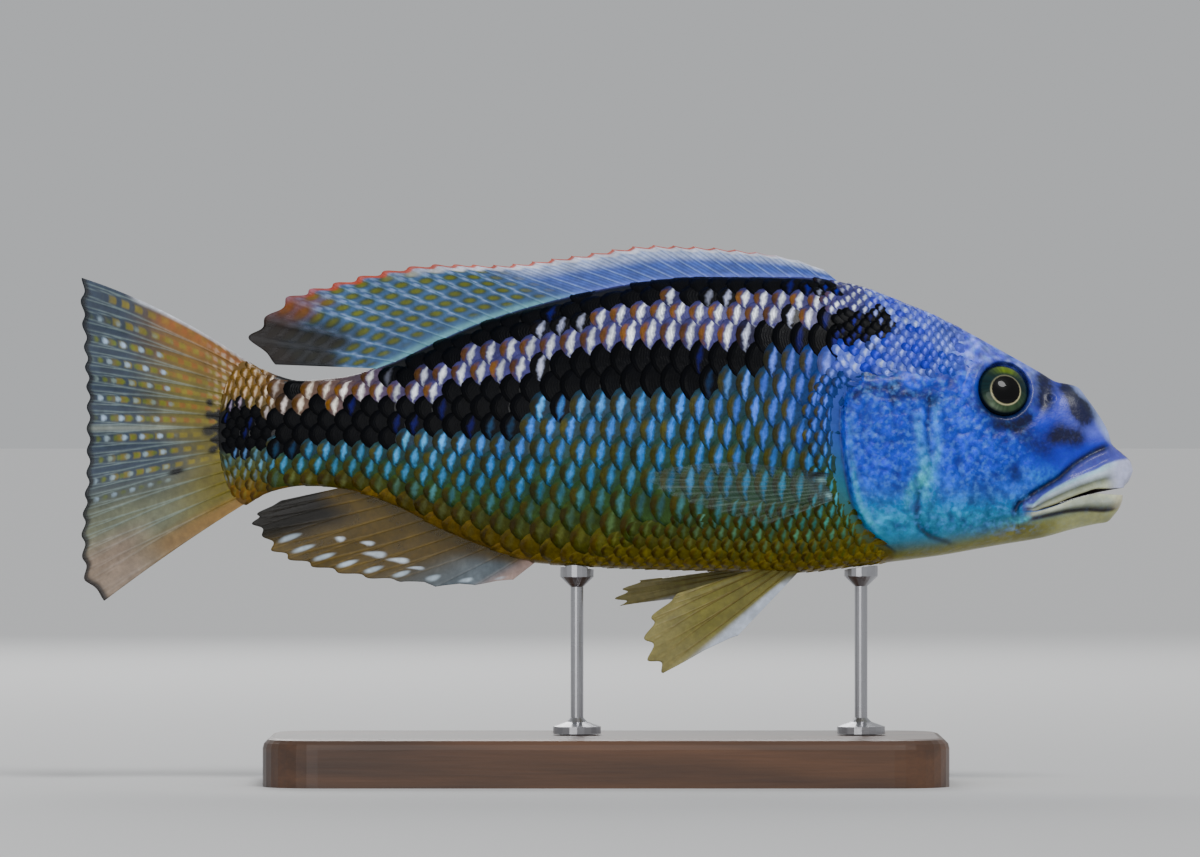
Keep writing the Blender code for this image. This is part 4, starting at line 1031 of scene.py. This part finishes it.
# %% Anal fin
anal, ray, out, on_ray, _ = fin_sheet(
    "anal_fin_skin", base_along(ANAL_ROOT, ANAL_RAYS, belly, -1.2), ray_curve(ANAL_TIPS), ANAL_RAYS - 1,
    16, 60, spines=3)
tint = coats(
    (84, 66, 14), ((128, 104, 46), 0.5 * on_ray),
    ((104, 124, 140), 0.7 * ramp(ray, 4.5, 1.5) * ramp(out, 0.1, 0.4)),
    ((74, 60, 12), 0.8 * ramp(out, 0.25, 0.05)),
    ((10, 8, 5), 0.97 * ramp(ray, 7.6, 9.4) * ramp(out - 0.2 * (ray - 8), 0.97, 0.77) * ramp(out, 0.2, 0.5)),
    ((206, 172, 160), 0.8 * ramp(ray, 1.2, 0.2)))
for spot_ray, spot_out, size in ((4.5, 0.62, 1.5), (5.5, 0.62, 1.6), (3.5, 0.7, 1.1), (6.5, 0.52, 1.0),
                                 (7.4, 0.6, 0.9)):
    near = np.hypot((ray - spot_ray) / (0.2 * size), (out - spot_out) / (0.026 * size))
    tint = mix(tint, (212, 226, 240), 0.95 * smooth_step(1.6 - near))
dash_ray = ray + 0.6 * (out - 0.87)
from_dash = np.hypot((dash_ray % 1 - 0.5) / 0.15, (out - 0.87) / 0.075)
edge_dashes = smooth_step(1.5 - from_dash) * between(ray, 1, 8.3, 1)
dress_fin(anal, mix(tint, (196, 216, 232), 0.9 * edge_dashes), 0.85 + 0.15 * on_ray)

# %% Tail fin
TAIL_RAY_LENGTH = 41.0
BEAD_PITCH = 2.3
caudal_lift = curve_through(CAUDAL_LIFT)
caudal, ray, out, on_ray, _ = fin_sheet(
    "caudal_fin_skin", ray_curve(CAUDAL_START), ray_curve(CAUDAL_TIPS), CAUDAL_RAYS - 1, 18, 90, notch=0.02,
    wave=0.3, bow=lambda ray: np.outer(caudal_lift(ray), (0, 0, 1)),
    root_swell=lambda ray: 1.5 * np.sqrt(1 - (ray / 7.5 - 1) ** 2))
out = np.clip((out * (TAIL_RAY_LENGTH + 4) - 4) / TAIL_RAY_LENGTH, 0, 1)
number, along_mm = np.floor(ray), out * TAIL_RAY_LENGTH
web = smooth_step(1.5 - np.abs(ray % 1 - 0.5) * 6)
beads = along_mm / BEAD_PITCH + 0.37 * number
bead = smooth_step(1.6 - np.hypot((beads % 1 - 0.5) * BEAD_PITCH / 0.6, (ray % 1 - 0.5) / 0.13))
bead_luck = 0.5 + 0.5 * np.sin(12.9 * np.floor(beads) + 7.7 * number)
dots = bead * between(out, 0.5, 0.93, 0.06) * between(ray, 1.8, 10.2, 0.6)
bars = smooth_step(np.sin(along_mm * 1.9 + 2 * number) * 2 + 0.8)
flakes = ramp(out, 0.3, 0.1) * ramp(ray, 6.5, 5)
lattice = np.sin(ray * 5.2 + along_mm * 1.7 + 0.5 * np.sin(ray * 3)) * np.sin(ray * 5.2 - along_mm * 1.5)
ragged_end = 0.225 + 0.02 * np.sin(ray * 6.5)
tint = coats(
    mix((110, 100, 24), (132, 96, 30), ramp(ray, 4.5, 1.5)),
    (mix((46, 62, 82), (112, 116, 92), ramp(ray, 9, 12)), ramp(out - 0.2 * ramp(ray, 8.5, 6.5), 0.16, 0.58)),
    ((132, 150, 148), 0.55 * on_ray * ramp(out, 0.15, 0.45)),
    ((138, 124, 18), 0.85 * web * between(out, 0.15, 0.8, 0.1) * between(ray, 0.5, 9.5, 1) * bars),
    ((170, 92, 20), 0.5 * web * between(out, 0.1, 0.5, 0.1) * between(ray, 0.5, 6.5, 1) * (1 - bars)),
    ((100, 112, 16), 0.85 * dots),
    ((176, 204, 240), (0.25 + 0.65 * bead_luck) * (np.floor(beads) % 2 < 0.5) * dots),
    ((222, 228, 240), 0.85 * ramp(ray, 0.3, 0.05) * between(out, 0.02, 0.6, 0.15)),
    ((156, 84, 20), 0.65 * hill(ray - 0.6, 0.35) * between(out, 0.0, 0.45, 0.2)),
    ((150, 112, 62), 0.75 * ramp(ray, 13.4, 14.6) * ramp(out, 0.8, 0.5)),
    ((164, 138, 122), 0.7 * ramp(ray, 12, 13.6) * ramp(out, 0.5, 0.8)),
    ((176, 186, 168), 0.5 * hill(ray - 7, 0.14) * ramp(out, 0.3, 0.6)),
    ((12, 16, 22), 0.9 * ramp(out, 0.955, 0.985)),
    ((208, 188, 170), 0.6 * flakes * smooth_step(lattice * 2 - 0.2)),
    ((104, 62, 10), 0.5 * flakes * smooth_step(-lattice * 2 - 0.4)),
    (INK, 0.98 * between(ray, 5.6, 8.5, 0.3) * smooth_step((ragged_end - out) / 0.02)))
for mark_ray, mark_out, wide, tall in ((5, 0.235, 0.3, 0.022), (6, 0.24, 0.36, 0.024),
                                       (7.3, 0.245, 0.42, 0.04), (8.8, 0.215, 0.36, 0.03),
                                       (10, 0.44, 0.2, 0.05)):
    near = np.hypot((ray - mark_ray) / wide, (out - mark_out) / tall)
    tint = mix(tint, INK, 0.95 * smooth_step(1.5 - near))
dress_fin(caudal, tint, 0.85 + 0.15 * np.maximum(on_ray, dots))

# %% Paired fins
PELVIC_ROOT = [(0, 82, -27.4, 3), (5, 91, -27.4, 4.5)]
PELVIC_HANGING = [(0, 99, -45, 10), (1, 117.5, -54.2, 13), (2, 121.5, -51, 13.5), (3, 122.3, -45.5, 13),
                  (4, 120.3, -40, 12), (5, 114, -34.5, 9.5)]
PELVIC_TRAILING = [(0, 106, -36, 9), (1, 128.2, -38, 11), (2, 129.5, -36, 11), (3, 127.5, -33.6, 10),
                   (4, 123, -31.6, 8.5), (5, 117, -30.9, 7)]
PECTORAL_ROOT = [(0, 74.2, -4.8), (6, 73.4, -7.8), (12, 74.2, -10.8)]
PECTORAL_TIPS = [(0, 100, -1.6, 22), (1, 110, -2.2, 23.4), (2, 117, -3.2, 24.2), (3, 121.5, -4.6, 24.6),
                 (4, 121.5, -6.4, 24.6), (5, 119, -8.4, 24.3), (8, 107, -13.2, 22.7), (12, 92, -17.2, 19.8)]

paired = []
for (side_name, side), edge in zip(SIDES.items(), (PELVIC_HANGING, PELVIC_TRAILING)):
    pelvic, ray, out, on_ray, _ = fin_sheet(
        "pelvic_fin_skin_" + side_name, ray_curve(PELVIC_ROOT, side), ray_curve(edge, side), 5, 22, 64,
        spines=1, notch=0.06, wave=0.3, ray_height=0.3)
    tint = coats((118, 112, 46), ((96, 74, 34), 0.6 * on_ray), ((150, 140, 90), 0.5 * ramp(out, 0.6, 0.9)),
                 ((196, 206, 226), 0.9 * ramp(ray, 0.85, 0.35) * ramp(out, 0.1, 0.3)))
    dress_fin(pelvic, tint, 0.85 + 0.15 * on_ray)
    fan_root = [(r, b, h, float(flank(np.array([b]), np.array([h]))[0]) - 1.6) for r, b, h in PECTORAL_ROOT]
    pectoral, ray, out, on_ray, _ = fin_sheet(
        "pectoral_fin_skin_" + side_name, ray_curve(fan_root, side), ray_curve(PECTORAL_TIPS, side),
        PECTORAL_RAYS - 1, 12, 50, notch=0.04, wave=0.15, membrane=0.08, ray_height=0.14,
        bow=lambda ray: np.outer(np.full(len(ray), 1.6), (0, side, 0)))
    first_rays, dark_root = hill(ray - 0.3, 0.5), hill(ray - 1.2, 1.6) * hill(out - 0.16, 0.05)
    glint = hill(out - 0.1, 0.03) * np.maximum(hill(ray - 3, 1.2), hill(ray - 9.5, 1.6))
    # Painted shade darkens the fin near its root, where it lies against the body. The glints near the root
    # are painted highlights.
    tint = coats((84, 106, 112), ((120, 140, 132), 0.6 * on_ray),
                 ((40, 46, 44), 0.6 * np.maximum(first_rays, hill(ray - 10.5, 0.8))),
                 ((40, 66, 82), 0.7 * ramp(out, 0.22, 0.06)), ((150, 196, 196), 0.7 * glint),
                 ((10, 16, 18), 0.95 * dark_root))
    veil = 0.08 + 0.12 * on_ray + 0.3 * ramp(out, 0.3, 0.05) + 0.2 * first_rays + 0.5 * (glint + dark_root)
    dress_fin(pectoral, tint, np.clip(veil, 0, 1))
    paired += [(pelvic, "pelvic_fin_" + side_name), (pectoral, "pectoral_fin_" + side_name)]


# %% [markdown]
# The eye is a slightly flattened ball. Its black pupil is ringed with gold, and the iris is dark green with
# a yellow-green patch above and grey-green below. The colours follow the distance from the pupil and the
# direction from it, and a clear, hard coat over the whole ball gives the wet shine of the cornea.

# %% Eyes
EYE_DEPTH = 3.4
EYE_SUNK = 1.35
PUPIL_OFFSET = (0.1, -0.8)
PUPIL_RADIUS = 3.65
CORNEA_BULGE = 0.35


def flank_frame(spot, side):
    """A point on the flank, and the directions behind, up and out of the skin there."""
    step = 3.0

    def plain(b, h):
        """The plain flank a step behind the spot and a step above it."""
        return float(plain_flank(np.array([spot[0] + b]), np.array([spot[1] + h]))[0])

    slope_back = (plain(step, 0) - plain(-step, 0)) / (2 * step)
    slope_up = (plain(0, step) - plain(0, -step)) / (2 * step)
    outward = Vector((slope_back, side, -slope_up)).normalized()
    up = (Vector((0, 0, 1)) - outward * outward.z).normalized()
    rearward = Vector((-1, 0, 0))
    rearward = (rearward - outward * rearward.dot(outward) - up * rearward.dot(up)).normalized()
    return Vector(place(*spot, side * plain(0, 0))), rearward, up, outward


def eye_ball(name, side):
    """A ball of rings round its outward axis: radius R sin a, depth D cos a, for a from 0 to a half turn."""
    surface, *axes = flank_frame(EYE, side)
    centre = np.array(surface - axes[2] * EYE_SUNK * MM)
    a = np.linspace(0, math.pi, 90)[1:-1, None]
    turn = np.linspace(0, 2 * math.pi, 96, endpoint=False)[None]
    flat_b, flat_h = EYE_RADIUS * np.sin(a) * np.cos(turn), EYE_RADIUS * np.sin(a) * np.sin(turn)
    depth = EYE_DEPTH * np.cos(a) + 0 * turn
    from_pupil = np.hypot(flat_b - PUPIL_OFFSET[0], flat_h - PUPIL_OFFSET[1])
    depth = depth + CORNEA_BULGE * hill(from_pupil, PUPIL_RADIUS) * (depth > 0)
    rows, columns = depth.shape
    spots = np.concatenate([np.stack([flat_b, flat_h, depth], axis=-1).reshape(-1, 3),
                            [[0, 0, EYE_DEPTH + CORNEA_BULGE], [0, 0, -EYE_DEPTH]]])
    piece = ringed_piece(name, centre + spots @ np.array(axes) * MM, rows, columns)
    face_outwards(piece)
    reach = np.hypot(spots[:, 0] - PUPIL_OFFSET[0], spots[:, 1] - PUPIL_OFFSET[1])
    direction = np.arctan2(spots[:, 1], spots[:, 0])
    iris = coats((6, 40, 44), ((52, 78, 50), smooth_step(-np.sin(direction) * 0.9 + 0.1)),
                 ((112, 138, 8), 0.9 * hill(direction - 1.75, 0.55) * ramp(reach, 3.9, 5.3)),
                 ((150, 168, 140), 0.5 * hill(direction + 0.9, 0.4) * ramp(reach, 3.9, 5.3)))
    iris = iris * (0.82 + 0.18 * np.sin(direction * 23 + 3 * np.sin(direction * 5)))[:, None]
    low_ring = 0.35 + 0.6 * smooth_step(0.5 - np.sin(direction))
    store(piece, "tint", coats(
        iris, ((206, 196, 150), low_ring * hill(reach - PUPIL_RADIUS - 0.16, 0.16)),
        ((1, 1, 2), smooth_step((PUPIL_RADIUS - reach) / 0.12 + 0.5)),
        ((8, 22, 30), ramp(np.hypot(spots[:, 0], spots[:, 1]), 5.7, 6.4))))
    return piece


eyes = {name: eye_ball("eye_ball_" + name, side) for name, side in SIDES.items()}
print("eye faces:", len(eyes["right"].data.polygons))

# %% [markdown]
# Materials come last. A wet skin is a smooth, slightly coated surface whose colour breaks up into tiny
# lighter and darker flecks. That flecking is used by skin, scales and fins alike, so it is one node group
# with its own values in each. Only the colours that change over a piece go through it.


# %% Nodes and shared flecks
def fill(tree, node, inputs):
    """Gives each named or numbered input of a node its plain value, or links it to another node's output."""
    for name, value in inputs.items():
        if isinstance(value, bpy.types.NodeSocket):
            tree.links.new(value, node.inputs[name])
        else:
            node.inputs[name].default_value = value


def add_node(tree, kind, inputs, output=0, **settings):
    """Adds a shader node with its settings and inputs, and gives back one of its outputs."""
    node = tree.nodes.new("ShaderNode" + kind)
    for setting, value in settings.items():
        setattr(node, setting, value)
    fill(tree, node, inputs)
    return node.outputs[output]


def calc(tree, operation, *values, clamp=False):
    """A math node over sockets or numbers."""
    return add_node(tree, "Math", dict(enumerate(values)), operation=operation, use_clamp=clamp)


def product(tree, first, second, clamp=False):
    """One socket or number times another."""
    return calc(tree, "MULTIPLY", first, second, clamp=clamp)


def spread(tree, value, low, high, to_low=0.0, to_high=1.0, kind="LINEAR"):
    """Stretches the values from low to high over a new range, and holds them within it."""
    return add_node(tree, "MapRange", {"Value": value, "From Min": low, "From Max": high, "To Min": to_low,
                                       "To Max": to_high}, "Result", interpolation_type=kind)


def noise(tree, where, scale, detail=2.0, output="Fac", **others):
    """Soft noise over places, with its scale and how many finer layers it has."""
    return add_node(tree, "TexNoise", {"Vector": where, "Scale": scale, "Detail": detail, **others}, output)


def object_place(tree, stretch=(1, 1, 1)):
    """Places on the piece, stretched along its three directions."""
    where = add_node(tree, "TexCoord", {}, "Object")
    return where if stretch == (1, 1, 1) else add_node(tree, "Mapping", {"Vector": where, "Scale": stretch})


def flecks_group():
    """Breaks a colour into light and dark flecks: noise of two sizes brightens and darkens it."""
    group = bpy.data.node_groups.new("Flecks", "ShaderNodeTree")
    for label, kind, value in (("Color", "Color", (1, 1, 1, 1)), ("Size", "Float", 900.0),
                               ("Strength", "Float", 0.5)):
        socket = group.interface.new_socket(name=label, in_out="INPUT", socket_type="NodeSocket" + kind)
        socket.default_value = value
    group.interface.new_socket(name="Color", in_out="OUTPUT", socket_type="NodeSocketColor")
    group.interface.new_socket(name="Mask", in_out="OUTPUT", socket_type="NodeSocketFloat")
    given, made = group.nodes.new("NodeGroupInput").outputs, group.nodes.new("NodeGroupOutput")
    where = object_place(group)
    fine = noise(group, where, given["Size"], 3.0, Roughness=0.65)
    broad = noise(group, where, product(group, given["Size"], 0.28))
    mask = spread(group, calc(group, "ADD", fine, broad), 0.75, 1.3, -1.0, 1.0)
    power = calc(group, "POWER", 2.6, product(group, mask, given["Strength"]))
    flecked = add_node(group, "VectorMath", {0: given["Color"], "Scale": power}, operation="SCALE")
    fill(group, made, {"Color": flecked, "Mask": mask})
    return group


flecks = flecks_group()
print("flecks:", len(flecks.nodes), "nodes")


# %% Helpers for the finishes
def new_material(name):
    """A new material, its nodes and the shader that all of them lead to."""
    material = bpy.data.materials.new(name)
    material.use_nodes = True
    return material, material.node_tree, material.node_tree.nodes["Principled BSDF"]


def read_attribute(tree, name, output="Color"):
    """What was kept under a name for each point of a mesh."""
    return add_node(tree, "Attribute", {}, output, attribute_name=name)


def solid(*colour):
    """A screen colour as a shader's four numbers."""
    return (*paint(colour), 1)


def mix_colour(tree, share, first, second):
    """A colour that goes from the first to the second as the share goes from 0 to 1."""
    return add_node(tree, "Mix", {0: share, 6: first, 7: second}, 2, data_type="RGBA")


def add_flecks(tree, colour, size, strength):
    """The shared flecks over a colour: the flecked colour, and the mask they follow."""
    node = tree.nodes.new("ShaderNodeGroup")
    node.node_tree = flecks
    fill(tree, node, {"Color": colour, "Size": size, "Strength": strength})
    return node.outputs


def add_bump(tree, height, distance, strength):
    """A surface's direction, tilted as if it were raised by a height times a distance in metres."""
    return add_node(tree, "Bump", {"Strength": strength, "Distance": distance, "Height": height}, "Normal")


print("walnut brown in a shader:", [round(float(part), 3) for part in solid(104, 68, 42)])


# %% Skin and scale finishes
def skin_material():
    """Wet skin: its painted tint in flecks, a fine grain and a clear coat."""
    material, tree, shader = new_material("wet_skin")
    sparkle = read_attribute(tree, "sparkle", "Fac")
    strength = calc(tree, "ADD", product(tree, sparkle, 0.5), 0.15)
    tint, mask = add_flecks(tree, read_attribute(tree, "tint"), 460.0, strength)
    where = object_place(tree)
    cells = add_node(tree, "TexVoronoi", {"Scale": 560.0, "Vector": where}, "Distance", feature="SMOOTH_F1")
    # Painted glints: pale blue noise where the skin glitters. Painted shade: darker hollows between the small
    # domes that the bump raises.
    shining = product(tree, spread(tree, noise(tree, where, 700.0, 3.0), 0.48, 0.74), sparkle, clamp=True)
    bright = mix_colour(tree, shining, tint, mix_colour(tree, 0.5, tint, solid(84, 160, 255)))
    shade = product(tree, product(tree, spread(tree, cells, 0.42, 0.75), 0.6), sparkle, clamp=True)
    grain = calc(tree, "SUBTRACT", product(tree, mask, 0.12), product(tree, cells, sparkle))
    fill(tree, shader, {
        "Base Color": mix_colour(tree, shade, bright, solid(8, 14, 96)),
        "Normal": add_bump(tree, grain, 0.0007, 0.8), "Roughness": 0.4, "Specular IOR Level": 0.3,
        "Coat Weight": 0.12, "Coat Roughness": 0.12})
    return material


def scale_material():
    """A scale: a pointed light patch in its middle, a spot near its free edge, and the ground round them."""
    material, tree, shader = new_material("scale_shine")
    ripple = noise(tree, object_place(tree), 620.0, output="Color")
    shaken = add_node(tree, "VectorMath", {0: ripple, 1: (0.12, 0.2, 0), 2: (-0.06, -0.1, 0)},
                      operation="MULTIPLY_ADD")
    in_scale = add_node(tree, "UVMap", {}, uv_map="InScale")
    x, y, _ = add_node(tree, "SeparateXYZ", {0: add_node(tree, "VectorMath", {0: in_scale, 1: shaken})},
                       slice(None))
    below = calc(tree, "SUBTRACT", y, 0.5)
    sideways = calc(tree, "ABSOLUTE", below)
    bend = product(tree, product(tree, sideways, sideways), 1.3)
    slanted = calc(tree, "SUBTRACT", x, product(tree, below, 0.22))
    from_patch = calc(tree, "ABSOLUTE", calc(tree, "SUBTRACT", calc(tree, "SUBTRACT", slanted, 0.69), bend))
    patch = calc(tree, "ADD", product(tree, from_patch, 8.6), product(tree, sideways, 2.4))
    lit = spread(tree, patch, 1.45, 0.15, kind="SMOOTHSTEP")
    spot_x = calc(tree, "POWER", product(tree, calc(tree, "SUBTRACT", slanted, 0.94), 9.5), 2.0)
    spot_y = calc(tree, "POWER", product(tree, sideways, 4.6), 2.0)
    spotted = spread(tree, calc(tree, "ADD", spot_x, spot_y), 1.9, 0.2, kind="SMOOTHSTEP")
    clear = calc(tree, "SUBTRACT", 1.0, read_attribute(tree, "dark", "Fac"))
    colour = mix_colour(tree, lit, read_attribute(tree, "ground"), read_attribute(tree, "light"))
    colour = mix_colour(tree, product(tree, spotted, 0.9), colour, read_attribute(tree, "spot"))
    growth = calc(tree, "SINE", product(tree, x, 75.0))
    fill(tree, shader, {
        "Base Color": add_flecks(tree, colour, 900.0, 0.35)["Color"],
        "Normal": add_bump(tree, growth, 0.00003, 0.5),
        "Metallic": product(tree, product(tree, lit, clear), 0.25),
        "Coat Weight": calc(tree, "MULTIPLY_ADD", clear, 0.14, 0.01), "Coat Roughness": 0.15,
        "Specular IOR Level": 0.08, "Roughness": 0.36})
    return material


skin_finish, scale_finish = skin_material(), scale_material()
print("scale finish:", len(scale_finish.node_tree.nodes), "nodes")


# %% Fin and eye finishes
def fin_material():
    """Fin skin: the painted tint in flecks, see-through where the membrane is thin."""
    material, tree, shader = new_material("fin_membrane")
    fill(tree, shader, {
        "Base Color": add_flecks(tree, read_attribute(tree, "tint"), 700.0, 0.25)["Color"],
        "Alpha": read_attribute(tree, "veil", "Fac"), "Roughness": 0.4, "Specular IOR Level": 0.25,
        "Coat Weight": 0.08, "Coat Roughness": 0.2})
    return material


def eye_material():
    """The painted eye under a hard, clear coat."""
    material, tree, shader = new_material("eye_shine")
    fill(tree, shader, {"Base Color": read_attribute(tree, "tint"), "Roughness": 0.35,
                        "Specular IOR Level": 0.05, "Coat Weight": 0.35, "Coat Roughness": 0.03})
    return material


fin_finish, eye_finish = fin_material(), eye_material()
print("fin finish:", len(fin_finish.node_tree.nodes), "nodes")

# %% [markdown]
# The stand is a walnut board with two brushed steel rods. Its solids already have their real shapes, so they
# only need finishes. Noise that is stretched along the board gives the grain. A photo of wood would do too,
# but it would show a seam wherever it starts again.


# %% Stand finishes
def wood_material():
    """Dark walnut: long noise rings stretched along the board, finer pores over them, and an oiled sheen."""
    material, tree, shader = new_material("walnut_grain")
    rings = noise(tree, object_place(tree, (7, 90, 90)), 1.0, 5.0, Distortion=0.8)
    pores = noise(tree, object_place(tree, (60, 1400, 1400)), 1.0, 3.0)
    board = mix_colour(tree, spread(tree, rings, 0.32, 0.7), solid(46, 28, 18), solid(104, 68, 42))
    fill(tree, shader, {
        "Base Color": mix_colour(tree, product(tree, pores, 0.5), board, solid(30, 18, 12)),
        "Normal": add_bump(tree, pores, 0.0001, 0.4), "Roughness": 0.42, "Coat Weight": 0.25,
        "Coat Roughness": 0.3})
    return material


def steel_material():
    """Brushed steel: fine rings of lighter and darker roughness round each rod."""
    material, tree, shader = new_material("brushed_rod")
    brushed = noise(tree, object_place(tree, (60, 60, 4000)), 1.0)
    fill(tree, shader, {"Roughness": spread(tree, brushed, 0.0, 1.0, 0.2, 0.42),
                        "Base Color": solid(176, 176, 180), "Metallic": 1.0})
    return material


board_finish, rod_finish = wood_material(), steel_material()
print("board finish:", len(board_finish.node_tree.nodes), "nodes")


# %% Put the finishes on and hand the pieces over
def hand_over(piece, material, slot, *nodes):
    """Gives a piece its material, lets it ride on the body and stand for the named solids. The slot is not
    used.
    """
    piece.data.materials.clear()
    piece.data.materials.append(material)
    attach(piece, "root")
    if nodes:
        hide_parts(*nodes)


hand_over(skin, skin_finish, "blue_skin", "head", "upper_jaw", "lower_jaw", "gill_cover_right",
          "gill_cover_left", "trunk", "tail_stalk")
for piece in coat:
    hand_over(piece, scale_finish, "blue_skin")
hand_over(dorsal, fin_finish, "fin_skin", "dorsal_fin_spiny", "dorsal_fin_soft")
for piece, node in [(anal, "anal_fin"), (caudal, "caudal_fin"), *paired]:
    hand_over(piece, fin_finish, "fin_skin", node)
for name, piece in eyes.items():
    hand_over(piece, eye_finish, "eye_glass", "eye_" + name)
for node, material in (("stand_base", board_finish), ("stand_rod_front", rod_finish),
                       ("stand_rod_rear", rod_finish)):
    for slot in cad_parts[node].material_slots:
        slot.material = material
print("finishes:", len(bpy.data.materials))

# %% [markdown]
# The stage is a wide pale floor under soft light from above, from the front and from both sides. The
# camera looks level at the fish's right side from far away, as the photograph does, which keeps the
# outline true. Its frame covers 300 mm across at the fish.

# %% Floor, lights and camera
FRAME_WIDTH = 0.300
CAMERA_DISTANCE = 2.4
CAMERA_HEIGHT = 0.0886
CAMERA_ALONG = -0.0015


def stage_floor():
    """A wide flat floor with a plain pale finish."""
    edge = 40.0
    corners = np.array([[-edge, -edge, 0], [edge, -edge, 0], [edge, edge, 0], [-edge, edge, 0]])
    floor = mesh_piece("floor", corners, np.array([[0, 1, 2, 3]]), smooth=False)
    material, tree, shader = new_material("pale_floor")
    fill(tree, shader, {"Base Color": (0.62, 0.62, 0.62, 1), "Roughness": 0.8})
    floor.data.materials.append(material)


def add_light(name, kind, power, place_at, target, **settings):
    """A light that shines from one place towards another."""
    data = bpy.data.lights.new(name, kind)
    data.energy = power
    for setting, value in settings.items():
        setattr(data, setting, value)
    light = bpy.data.objects.new(name, data)
    light.location = place_at
    light.rotation_euler = (Vector(target) - Vector(place_at)).to_track_quat("-Z", "Y").to_euler()
    bpy.context.scene.collection.objects.link(light)


stage_floor()
add_light("light_key", "SUN", 1.6, (0.35, -0.8, 1.1), (0, 0, 0), angle=0.35)
add_light("light_front", "AREA", 5, (-0.5, -1.5, 0.35), (0, 0, 0.09), shape="DISK", size=0.9)
add_light("light_back", "AREA", 7, (-0.2, 1.3, 0.8), (0, 0, 0.09), shape="DISK", size=0.8)
world = bpy.data.worlds.new("plain_room")
world.use_nodes = True
fill(world.node_tree, world.node_tree.nodes["Background"], {"Color": (0.80, 0.82, 0.84, 1), "Strength": 0.6})
bpy.context.scene.world = world

camera_data = bpy.data.cameras.new("camera")
camera_data.sensor_width = 36.0
camera_data.lens = 36.0 * CAMERA_DISTANCE / FRAME_WIDTH
camera = bpy.data.objects.new("camera", camera_data)
camera.location = (CAMERA_ALONG, -CAMERA_DISTANCE, CAMERA_HEIGHT)
camera.rotation_euler = (math.pi / 2, 0, 0)
bpy.context.scene.collection.objects.link(camera)
bpy.context.scene.camera = camera
print("camera lens:", camera_data.lens, "mm, view", FRAME_WIDTH, "m across at the fish")
